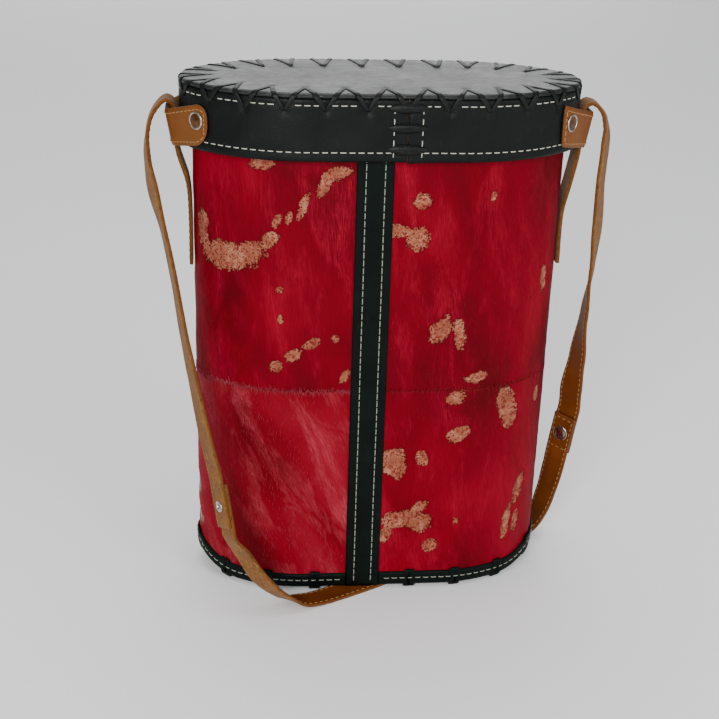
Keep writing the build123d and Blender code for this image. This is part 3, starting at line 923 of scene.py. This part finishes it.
def strip_profile():
    """Across the strip: its offset from the middle and its depth below the outer face."""
    half = strip_width / 2
    columns = 24
    outer = []
    for k in range(columns + 1):
        u = -half + 2 * half * k / columns
        drop = 0.7 * max(0, 1 - (half - abs(u)) / 1.1) ** 2
        groove = 0.22 * math.exp(-((abs(u) - (half - strip_stitch_margin)) ** 2))
        crown = -0.25 * (1 - (u / half) ** 2)
        outer.append((u, drop + groove + crown + 0.12))
    return outer + [(half, leather_strip - 0.05), (-half, leather_strip - 0.05)]


def build_strips():
    sewn = Mesh("strip_stitches")
    steps = 150
    profile = strip_profile()
    for node, way in (("front_strip", -1), ("back_strip", 1)):
        face_y = way * (half_depth - strip_inset)
        rings = []
        for i in range(steps + 1):
            z = sole_z + (wall_z - sole_z) * i / steps
            ring = []
            for u, depth in profile:
                sway = 0.09 * wobble(u, way, z, 18, 4)
                ring.append(Vector((strip_x + u, face_y - way * (depth + sway), z)))
            rings.append(ring)
        mesh = Mesh(node + "_leather")
        mesh.tube(rings, kinds=[0] * (len(profile) - 3) + [1, 0, 1])
        settle(mesh.build([black_trim, raw_edge]), "case", node)
        for side in (-1, 1):
            x = strip_x + side * (strip_width / 2 - strip_stitch_margin)

            def place(z, x=x, face_y=face_y, way=way):
                return Vector((x + 0.05 * math.sin(z / 17), face_y, z)), Vector((0, way, 0))

            stitches(sewn, place, sole_z + 4, skirt_z + 20, None, 5.6, 4.7)
    settle(sewn.build([grey_thread]), "case")


def build_binding():
    mesh = Mesh("base_binding_leather")
    sewn = Mesh("base_stitches")
    around = 260
    gap = strip_width / 2 + 0.1
    back_seam = lid_round / 2 - strip_x

    def place(distance):
        point, normal = outline(distance, strip_inset - 0.1)
        return point + UP * (sole_z + base_rise(point.x) + binding_height * 0.55), normal

    for start, end in ((strip_x + gap, back_seam - gap), (back_seam + gap, lid_round + strip_x - gap)):
        rings = []
        for k in range(around + 1):
            distance = start + (end - start) * k / around
            low = sole_z + base_rise(outline(distance, strip_inset)[0].x)
            ring = []
            for inset, z in section(low, low + binding_height, leather_strip - 0.05, 9, 0.9, strip_inset):
                point, normal = outline(distance, inset)
                wave = 0.2 * wobble(distance, 0, z, 9, 8) + 0.5 * wobble(distance, 0, 0, 30, 2)
                sway = 0 if z < low + 2 else 0.5 * wobble(distance, 0, 0, 14, 6)
                ring.append(point + normal * (wave * 0.4) + UP * (z + sway))
            rings.append(ring)
        mesh.tube(rings)
        stitches(sewn, place, start + 3, end - 3)
    settle(mesh.build([black_trim]), "case", "base_binding")
    settle(sewn.build([grey_thread]), "case")


# ---- straps ----
# Stations along the strap's middle, and the way its grain side faces there.
lap = 32
guide = 8
lap_gap = 0.04
floor_z = strap_thickness / 2 + 0.15
riser_x = half_length - hide_inset + 0.6 + strap_thickness / 2
slot_x = half_length + 0.4 + strap_thickness / 2


def by_lid(x, y, drop, *grain):
    """A station beside the lid's right end: x beyond the end, drop below the lid's top."""
    return (half_length + x, y, lid_z - drop), grain


def by_case(x, y, z, *grain):
    """A station beside the case's right end: x beyond the lid's end, z above the floor."""
    return (half_length + x, y, z), grain


def mirrored(stations):
    """The same stations at the left end."""
    return [((-x, y, z), (-grain[0], grain[1], grain[2])) for (x, y, z), grain in stations]


def riser(swing):
    """Stations from the riser's foot up through the keeper, to just above its top edge."""
    return [
        ((riser_x, 0, lid_z - 134), (1, 0, 0)),
        ((riser_x, 0, lid_z - 96), (1, 0, 0)),
        ((riser_x + swing, 0, lid_z - 74), (1, 0, 0)),
        ((slot_x, 0, lid_z - 50), (1, 0, 0)),
        ((slot_x, 0, lid_z - 30), (1, 0, -0.1)),
        ((slot_x + 1.8, 0, lid_z - 20), (0.8, 0, -0.6)),
        ((slot_x + 6.7, 0, lid_z - 16.4), (0, 0, -1)),
    ]


left_joint = ((-(half_length - 26.5), -half_depth - 12, 86), (0.88, 0.47, 0))
left_route = mirrored(
    riser(1.4)
    + [
        by_lid(14, 0, 20.4, -0.5, 0, -0.87),
        by_lid(19.2, -0.5, 28.6, -0.83, 0, -0.53),
        by_lid(22, -1.5, 40, -1, 0.05, -0.1),
        by_lid(22.6, -3.5, 56, -0.97, 0.2, 0),
        by_lid(19, -8, 80, -0.93, 0.37, 0),
        by_lid(11.8, -14, 110, -0.98, 0.18, 0),
        by_lid(5.3, -24, 142, -0.98, 0.2, 0),
        by_case(-0.2, -34, 205, -0.97, 0.25, 0),
        by_case(-6, -44, 176, -0.95, 0.32, 0),
        by_case(-14.5, -half_depth + 4, 136, -0.91, 0.42, 0),
    ]
)
middle_left = mirrored(
    [
        by_case(-40.5, -half_depth - 19, 50, -0.76, 0.64, 0.12),
        by_case(-53, -half_depth - 21, 30, -0.6, 0.75, 0.3),
        by_case(-70, -half_depth - 18, 12, -0.3, 0.6, 0.75),
    ]
)
middle_floor = [
    ((strip_x - 44.3, -half_depth - 11.5, floor_z + 1.9), (0, 0.05, 1)),
    ((strip_x - 16.3, -half_depth + 2.5, floor_z + 0.1), (0, 0, 1)),
    ((strip_x + 38.7, -half_depth + 33, floor_z), (0, 0, 1)),
]
middle_right = [
    by_case(-55, 0, floor_z, 0, 0, 1),
    by_case(-23, 15, floor_z + 0.2, 0, 0, 1),
    by_case(-9, 20.5, 3.4, -0.25, -0.1, 1),
    by_case(3, 24.5, 14.6, -0.75, -0.35, 0.6),
    by_case(10, 26, 34, -0.8, -0.55, 0.3),
    by_case(14.5, 25, 60, -0.73, -0.68, 0.1),
]
middle_route = middle_left + middle_floor + middle_right
right_joint = ((half_length + 18.5, 22, 92), (-0.7, -0.71, 0))
right_route = [
    by_case(20.5, 16, 132, -0.72, -0.7, 0),
    by_case(21.6, 12, 160, -0.93, -0.37, 0),
    by_case(22.6, 8, 198, -1, 0.05, 0),
    by_lid(24.2, 5, 144, -0.93, 0.37, 0),
    by_lid(24.2, 3, 110, -0.84, 0.55, 0),
    by_lid(22.8, 1.5, 76, -0.87, 0.49, 0),
    by_lid(23.2, 0.5, 46, -0.87, 0.48, -0.05),
    by_lid(21.4, 0, 31, -0.85, 0.3, -0.42),
    by_lid(16, 0, 21, -0.58, 0.08, -0.8),
    *reversed(riser(4.2)),
]


def lap_stations(before, joint, after, layer, arriving):
    """Stations straight through a lap, on one layer of it, with a guide where the piece joins or leaves."""
    centre = Vector(joint[0])
    face = Vector(joint[1]).normalized()
    course = (Vector(after) - Vector(before)).normalized()
    course = (course - face * course.dot(face)).normalized()
    raised = centre + face * (layer * (strap_thickness + lap_gap) / 2)
    half = lap / 2
    extra = -half - guide if arriving else half + guide
    return [(tuple(raised + course * reach), tuple(face)) for reach in sorted((-half, 0, half, extra))]


def smooth_route(route, spacing=2.2):
    """Points and grain directions on a smooth curve through a route's stations."""
    points = [Vector(p) for p, _ in route]
    faces = [Vector(g).normalized() for _, g in route]
    made = []
    for i in range(len(points) - 1):
        a = points[max(i - 1, 0)]
        b = points[i]
        c = points[i + 1]
        d = points[min(i + 2, len(points) - 1)]
        chord = (c - b).length
        leave = (c - a).normalized() * chord
        arrive = (d - b).normalized() * chord
        steps = max(2, round(chord / spacing))
        for k in range(steps):
            t = k / steps
            ease = t * t * (3 - 2 * t)
            h = (2 * t**3 - 3 * t**2 + 1, t**3 - 2 * t**2 + t, 3 * t**2 - 2 * t**3, t**3 - t**2)
            point = b * h[0] + leave * h[1] + c * h[2] + arrive * h[3]
            made.append((point, faces[i].lerp(faces[i + 1], ease).normalized()))
    made.append((points[-1], faces[-1]))
    return made


def strap_frames(stations):
    """Point, across, outward (grain side) and running length at each station."""
    frames = []
    run = 0
    for i, (point, face) in enumerate(stations):
        ahead = stations[min(i + 1, len(stations) - 1)][0]
        behind = stations[max(i - 1, 0)][0]
        course = (ahead - behind).normalized()
        across = face.cross(course).normalized()
        up = course.cross(across).normalized()
        if i:
            run += (point - stations[i - 1][0]).length
        frames.append((point, across, up, run))
    return frames


# Across the strap, as shares of half its width: where its stitch rows run, and where its edge rounds off.
row_share = 0.8
edge_mark = 0.93


def strap_ring(point, across, up, run, seed):
    """One cross-section of the strap: grain side, edge, suede side, edge."""
    half = strap_width / 2 + 0.18 * wobble(run, seed, 0, 16)
    thick = strap_thickness / 2
    ring = []
    grain_marks = (-1, -edge_mark, -row_share, -0.4, 0, 0.4, row_share, edge_mark, 1)
    for mark in grain_marks:
        groove = 0.18 * math.exp(-(((abs(mark) - row_share) / 0.07) ** 2))
        drop = 0.55 * max(0, (abs(mark) - edge_mark) / (1 - edge_mark)) ** 2
        ring.append(point + across * (half * mark) + up * (thick - groove - drop))
    ring.append(point + across * (half + 0.12))
    for mark in reversed(grain_marks):
        drop = 0.3 * max(0, (abs(mark) - edge_mark) / (1 - edge_mark)) ** 2
        fuzz = 0.08 * wobble(run, mark * 9, seed, 2)
        ring.append(point + across * (half * mark) - up * (thick - drop + fuzz - 0.05))
    ring.append(point - across * (half + 0.12))
    return ring


# Materials round the strap's section: 0 is the grain side, 1 the suede side and 2 the edges.
strap_kinds = [0] * 8 + [2, 2] + [1] * 8 + [2, 2]
# Stitches without gaps, their pitch and their length.
strap_stitch = (None, 4.6, 3.4)
row_end = 3
cross_half = 7
riser_row_gap = 11
riser_bend_z = (0.288, 0.333)
outer_bend_z = (0.125, 0.333)


def build_strap(name, stations, seed, cross_rows):
    """A strap and its stitch rows, as two objects. cross_rows gives the rows across it, from either end."""
    frames = strap_frames(stations)
    mesh = Mesh(name)
    mesh.tube([strap_ring(*frame_row, seed) for frame_row in frames], kinds=strap_kinds)
    runs = [run for _, _, _, run in frames]
    total = runs[-1]

    def spot(run, share, face):
        """A point on the strap's face, run along it and share of half its width across it."""
        i, t = place_along(runs, run)
        a, b = frames[i - 1], frames[i]
        up = a[2].lerp(b[2], t).normalized() * face
        across = a[1].lerp(b[1], t).normalized()
        sink = 0.30 if face > 0 else 0.55
        depth = strap_thickness / 2 - sink
        return a[0].lerp(b[0], t) + across * (share * strap_width / 2) + up * depth, up

    sewn = Mesh(name + "_stitches")
    for share in (-row_share, row_share):
        for face in (1, -1):

            def along(run, share=share, face=face):
                return spot(run, share, face)

            stitches(sewn, along, row_end, total - row_end, *strap_stitch)
    for offset in cross_rows:

        def across_strap(u, run=offset if offset > 0 else total + offset):
            return spot(run, u / (strap_width / 2), 1)

        stitches(sewn, across_strap, -cross_half, cross_half, *strap_stitch)
    return mesh.build([tan_grain, tan_suede, tan_edge]), sewn.build([tan_thread])


def build_straps():
    left_ends = (left_route[-1][0], left_joint, middle_route[0][0])
    right_ends = (middle_route[-1][0], right_joint, right_route[0][0])
    left_all = left_route + lap_stations(*left_ends, -1, True)
    middle_all = lap_stations(*left_ends, 1, False) + middle_route + lap_stations(*right_ends, 1, True)
    right_all = lap_stations(*right_ends, -1, False) + right_route
    # The riser and the outer length meet inside the keeper, where their ends overlap unseen.
    left_split = 4
    right_split = len(right_all) - left_split
    at_start = (row_end, lap - row_end)
    at_end = (-row_end, row_end - lap)
    at_head = (row_end, row_end + riser_row_gap)
    at_foot = (-row_end, -row_end - riser_row_gap)
    pieces = (
        ("strap_left_riser", left_all[: left_split + 1], riser_bend_z, "strap_left", 1, at_head),
        ("strap_left_outer", left_all[left_split:], outer_bend_z, None, 2, at_end),
        ("strap_right_outer", right_all[:right_split], outer_bend_z, "strap_right", 3, at_start),
        ("strap_right_riser", right_all[right_split - 1 :], riser_bend_z, None, 4, at_foot),
        ("strap_middle_length", middle_all, None, "strap_middle", 5, at_start + at_end),
    )
    for name, route, bend, node, seed, cross_rows in pieces:
        strap, sewn = build_strap(name, smooth_route(route), seed, cross_rows)
        for made in (strap, sewn):
            if bend:
                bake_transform(made)
            else:
                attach(made, "case")
        if node:
            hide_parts(node)


# ---- keepers: leather bands round the noses ----
keeper_skin = 2.2
keeper_slot_depth = 5.5
keeper_half_slot = strap_width / 2 + 0.8
keeper_corner = 3.5
keeper_border = 2.9
keeper_tilt_top = 11
keeper_tilt_low = 7
keeper_lean = (-2.2, 2.2)
keeper_rivet_angle = math.radians(45.5)
keeper_stitch = (None, 3.6, 2.7)
keeper_row_height = 20


def keeper_path(side, skin):
    """Plan points of a keeper's inner face grown by skin, from its front end round the nose."""
    corner_x = nose_radius + keeper_slot_depth + skin
    corner_y = keeper_half_slot + skin
    radius = nose_radius + skin + 0.02
    touch = math.atan2(corner_y, corner_x) + math.acos(radius / math.hypot(corner_x, corner_y))
    end_x = node_box("keeper_right")[0].x
    start = math.acos((end_x - nose_x) / radius)
    points = []
    for k in range(27):
        angle = start + (touch - start) * k / 26
        points.append(Vector((nose_x + radius * math.cos(angle), -radius * math.sin(angle), 0)))
    corner = Vector((nose_x + corner_x, -corner_y, 0))
    before = (points[-1] - corner).normalized()
    after = Vector((0, 1, 0))
    bend = keeper_corner + skin
    for k in range(1, 9):
        t = k / 9
        a = corner + before * bend
        b = corner + after * bend
        points.append(a * (1 - t) ** 2 + corner * (2 * t * (1 - t)) + b * t**2)
    points.append(Vector((nose_x + corner_x, -corner_y * 0.3, 0)))
    points.append(Vector((nose_x + corner_x, 0, 0)))
    back = [Vector((p.x, -p.y, 0)) for p in reversed(points[:-1])]
    return [Vector((side * p.x, p.y, 0)) for p in points + back]


def build_keeper(name, node, side, round_end):
    box_low, box_high = node_box(node)
    end_x = node_box("keeper_right")[0].x
    outer_x = box_high.x if side > 0 else -box_low.x
    inner_path = keeper_path(side, 0)
    outer_path = keeper_path(side, keeper_skin)
    count = len(outer_path)
    runs = [0]
    for a, b in zip(outer_path, outer_path[1:]):
        runs.append(runs[-1] + (b - a).length)
    total = runs[-1]

    def span(i):
        """The band's lower and upper edge at a station."""
        share = (abs(outer_path[i].x) - end_x) / (outer_x - end_x)
        low_z = box_low.z + keeper_tilt_low * (1 - share)
        high_z = box_high.z - keeper_tilt_top * share
        gap = min(runs[i], total - runs[i])
        if gap < round_end:
            close = 0.8 * (1 - math.sqrt(max(0, 1 - (1 - gap / round_end) ** 2)))
            middle = (low_z + high_z) / 2
            low_z += (middle - low_z) * close
            high_z += (middle - high_z) * close
        return low_z + 0.05, high_z - 0.05

    def lean(i, share):
        """The fold round the strap stands out more at its top than at its bottom."""
        beyond = max(0, abs(inner_path[i].x) - (half_length - 2)) / (keeper_slot_depth + 2)
        return Vector((side * beyond * (keeper_lean[0] * (1 - share) + keeper_lean[1] * share), 0, 0))

    rows = 12
    mesh = Mesh(name)
    rings = []
    for i in range(count):
        low_z, high_z = span(i)
        out = (outer_path[i] - inner_path[i]).normalized()
        ring = []
        for k in range(rows + 1):
            z = low_z + (high_z - low_z) * k / rows
            edge = min(z - low_z, high_z - z)
            drop = 0.5 * max(0, 1 - edge / 0.8) ** 2
            drop += 0.12 * math.exp(-(((edge - keeper_border) / 0.7) ** 2))
            ring.append(outer_path[i] - out * drop + lean(i, k / rows) + UP * z)
        ring.append(inner_path[i] + lean(i, 1) + UP * high_z)
        ring.append(inner_path[i] + lean(i, 0) + UP * low_z)
        rings.append(ring)
    mesh.tube(rings, kinds=[0] * rows + [2, 1, 2])
    settle(mesh.build([keeper_tan, tan_suede, tan_edge]), "lid", node)

    def at(run, share):
        """A point on the outer face: run along the band, and share from its lower to its upper border."""
        i, t = place_along(runs, run)
        low_z, high_z = (a * (1 - t) + b * t for a, b in zip(span(i - 1), span(i)))
        z = low_z + keeper_border + (high_z - low_z - 2 * keeper_border) * share
        point = outer_path[i - 1].lerp(outer_path[i], t)
        height_share = (z - low_z) / (high_z - low_z)
        leaning = lean(i - 1, height_share).lerp(lean(i, height_share), t)
        inside = inner_path[i - 1].lerp(inner_path[i], t)
        return point + leaning + UP * z, (point - inside).normalized()

    sewn = Mesh(name + "_stitches")
    for share in (0, 1):

        def along(run, share=share):
            return at(run, share)

        stitches(sewn, along, keeper_border, total - keeper_border, *keeper_stitch)
    for run in (keeper_border, total - keeper_border):

        def upwards(u, run=run):
            return at(run, u / keeper_row_height)

        stitches(sewn, upwards, 0.5, keeper_row_height - 0.5, *keeper_stitch)
    settle(sewn.build([tan_thread]), "lid")


# ---- base lacing: thongs over the binding and under the sole ----
def islands(node):
    """The corners of each separate solid of a node, in millimetres."""
    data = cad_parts[node].data
    group = list(range(len(data.vertices)))

    def root(i):
        while group[i] != i:
            group[i] = group[group[i]]
            i = group[i]
        return i

    for edge in data.edges:
        a, b = edge.vertices
        group[root(a)] = root(b)
    found = {}
    for vertex in data.vertices:
        found.setdefault(root(vertex.index), []).append(vertex.co / MM)
    return list(found.values())


def middle_of(corners):
    """The middle of a solid's corners."""
    return sum(corners, Vector()) / len(corners)


def rounded_middle(corners):
    """A solid's place in plan, rounded, to put the solids in a lasting order."""
    middle = middle_of(corners)
    return round(middle.x), round(middle.y)


# A base thong's course: reach out from the binding, height, the way it faces outwards and upwards, half
# its thickness. Heights of the first rows are from the binding's top edge, and of the others from the sole.
over_binding = (
    (-1.3, 1.3, 1, 0.6, 0.5),
    (-0.2, 1.7, 1, 0.5, 0.55),
    (0.1, 0.2, 1, 0, 0.45),
    (-0.06, -3, 1, 0, 0.4),
    (-0.08, -7, 1, 0, 0.4),
)
under_sole = (
    (-0.1, 1.4, 1, 0, 0.45),
    (-0.7, -0.2, 1, -0.6, 0.6),
    (-1.4, -1, 0.5, -1, 0.9),
    (-2.2, -1.5, 0, -1, 1.35),
    (-4.5, -1.5, 0, -1, 1.45),
    (-6.6, -1.45, 0, -1, 1.35),
    (-7.8, -0.7, 0, -1, 0.7),
)
slope_run = 8
leaning_stations = 4


def build_base_lacing():
    mesh = Mesh("base_lacing_thongs")
    spots = [outline(k * 1.5, strip_inset) for k in range(int(lid_round / 1.5))]
    course = [(reach, sole_z + binding_height + height, *rest) for reach, height, *rest in over_binding]
    course += [(reach, sole_z + height, *rest) for reach, height, *rest in under_sole]
    last = len(course) - 1
    for corners in sorted(islands("base_lacing"), key=rounded_middle):
        centre = middle_of(corners)
        point, out = min(spots, key=lambda spot: (spot[0].xy - centre.xy).length)
        rise = base_rise(point.x)
        slope = rise - base_rise(abs(point.x) - abs(out.x) * slope_run) if rise > 0 else 0
        side_lean = UP.cross(out) * random.uniform(-0.6, 0.6)
        points = []
        normals = []
        for i, (reach, height, outward, upward, _) in enumerate(course):
            drop = slope * max(0, -reach) / slope_run
            sideways = side_lean * max(0, 1 - i / leaning_stations)
            points.append(point + out * reach + UP * (rise + height - drop) + sideways)
            normals.append((out * outward + UP * upward).normalized())
        rings = ribbon_rings(
            points,
            normals,
            lambda t: 2.1 - 0.9 * max(0, 1 - t * 4),
            lambda t: course[round(t * last)][4],
            12,
            0.6,
        )
        # The thongs carry the case, so they are flat on the floor.
        mesh.tube([[Vector((p.x, p.y, max(p.z, 0))) for p in ring] for ring in rings])
    settle(mesh.build([black_trim]), "case", "base_lacing")


# ---- loose hair: a fringe along the seam, and stray hairs over the hide ----
hair_shares = (0, 0.35, 0.7, 1)
stray_count = 1800


def hair(mesh, root, lie, out, length, radius):
    """One hair: a thin tapered closed strand that lies along lie and lifts along out."""
    across = lie.cross(out).normalized()
    rings = []
    for t in hair_shares:
        point = root + lie * (length * t) + out * (0.15 + 0.08 * length * t * t)
        size = radius * (1 - 0.85 * t)
        below = point - across * size * 0.5
        rings.append([point + across * size, below + out * size, below - out * size])
    mesh.tube(rings)


def hide_spot(distance, z, lean, fall):
    """A point on the hide, the way that a hair lies there, and the way out."""
    point, out = outline(distance, hide_inset)
    return point + UP * z, (UP.cross(out) * lean + UP * fall).normalized(), out


def build_hair():
    half = lid_round / 2
    for name, material, slot, side, top, spacing, lengths, sizes in (
        ("hair_fringe_light", pink_hair, "hair_hide_light", 1, seam_z, 0.55, (2.6, 5.2), (0.20, 0.34)),
        ("hair_fringe_deep", red_hair, "hair_hide_deep", -1, wall_z, 0.9, (2, 4), (0.16, 0.28)),
    ):
        mesh = Mesh(name)
        for k in range(int((half - strip_width) / spacing)):
            offset = strip_width / 2 + 0.4 + k * spacing + random.uniform(-0.3, 0.3)
            distance = (strip_x - side * offset) % lid_round
            if abs(distance - (half - strip_x)) < strip_width / 2 + 1:
                continue
            upwards = random.random() < 0.3
            height = random.uniform(-1, 0.6) if upwards else random.uniform(-0.2, 2.2)
            lean = random.uniform(-0.6, 0.6)
            root, lie, out = hide_spot(distance, seam_z + height, lean, 0.8 if upwards else -1)
            hair(mesh, root, lie, out, random.uniform(*lengths), random.uniform(*sizes))
        for _ in range(stray_count):
            offset = random.uniform(strip_width / 2 + 2, half - strip_width)
            distance = (strip_x - side * offset) % lid_round
            z = random.uniform(24 + base_rise(outline(distance)[0].x), top - 4)
            if bareness(distance, z) > 0.25:
                continue
            root, lie, out = hide_spot(distance, z, random.uniform(-0.3, 0.3), -1)
            hair(mesh, root - out * 0.1, lie, out, random.uniform(2, 4.2), random.uniform(0.08, 0.13))
        settle(mesh.build([material]), "case")


# ---- rivets: profiles of radius and height ----
cap_profile = ((0.9, -0.3), (5.6, -0.2), (6.1, 0.05), (6.25, 0.35), (6.05, 0.65), (5.5, 0.82), (5.1, 0.78))
cap_profile += ((4.7, 0.86), (4, 1.12), (3, 1.36), (1.8, 1.5), (0.8, 1.55), (0.12, 1.56))
eyelet_profile = ((1, 0.5), (4.3, 0.3), (4.5, -0.1), (4.2, -0.5), (3.6, -0.72), (2.9, -0.85), (2.3, -0.8))
eyelet_profile += ((1.9, -0.45), (1.7, 0.3), (1, 0.45))
rim_profile = ((4.6, -0.28), (5.6, -0.2), (6.1, 0.05), (6.25, 0.35), (6.05, 0.68), (5.5, 0.9), (5, 0.84))
rim_profile += ((4.75, 0.5),)
dish_profile = ((0.6, -0.2), (4.9, -0.1), (4.9, 0.52), (4.5, 0.6), (3.4, 0.56), (2.2, 0.62), (1, 0.7))
dish_profile += ((0.12, 0.72),)


def revolve(mesh, profile, seat, face, kind=0):
    """Turns a profile about the way that a rivet faces."""
    sides = 40
    placed = Matrix.Translation(seat) @ face.to_track_quat("Z", "Y").to_matrix().to_4x4()
    rings = []
    for radius, height in profile:
        angles = [2 * math.pi * k / sides for k in range(sides)]
        rings.append([placed @ Vector((radius * math.cos(a), radius * math.sin(a), height)) for a in angles])
    mesh.tube(rings, kinds=[kind] * sides)


def build_rivets():
    half_grip = strap_thickness + lap_gap
    for name, (place, grain) in (("strap_rivet_left", left_joint), ("strap_rivet_right", right_joint)):
        face = Vector(grain).normalized()
        mesh = Mesh(name + "_metal")
        revolve(mesh, cap_profile, Vector(place) + face * half_grip, face)
        revolve(mesh, eyelet_profile, Vector(place) - face * half_grip, face)
        settle(mesh.build([metal]), "case", name)
    for name, side in (("keeper_rivets_left", -1), ("keeper_rivets_right", 1)):
        mesh = Mesh(name + "_metal")
        low, high = node_box(name)
        for depth_side in (-1, 1):
            out = Vector((side * math.cos(keeper_rivet_angle), depth_side * math.sin(keeper_rivet_angle), 0))
            seat = Vector((side * nose_x, 0, (low.z + high.z) / 2)) + out * (nose_radius + keeper_skin)
            revolve(mesh, rim_profile, seat, out)
            # The dished middle is brown: a painted reflection of the leather.
            revolve(mesh, dish_profile, seat, out, 1)
        settle(mesh.build([metal, painted_leather_reflection]), "lid", name)


# ---- nodes that keep their CAD shape: the material of each, and how wide its edges are softened ----
kept_nodes = {
    "case_shell": (board_tan, 0),
    "case_lining": (lining_suede, 0),
    "base_board": (board_tan, 0),
    "base_sole": (black, 0),
    "rim_binding": (black, 0.6),
    "lid_board": (board_tan, 0),
    "lid_lining": (lining_suede, 0.3),
}


def finish_kept_nodes():
    for node, (material, bevel) in kept_nodes.items():
        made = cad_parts[node]
        made.data.materials.clear()
        made.data.materials.append(material)
        if bevel:
            soften = made.modifiers.new("soften", "BEVEL")
            soften.width = bevel * MM
            soften.segments = 2
            soften.limit_method = "ANGLE"
            soften.angle_limit = math.radians(50)


build_lid_top()
build_skirt()
build_skirt_stitches()
build_lid_lacing()
build_seam_lacing()
build_hides()
build_strips()
build_binding()
build_straps()
build_keeper("keeper_left_band", "keeper_left", -1, 11)
build_keeper("keeper_right_band", "keeper_right", 1, 1.6)
build_base_lacing()
build_hair()
build_rivets()
finish_kept_nodes()
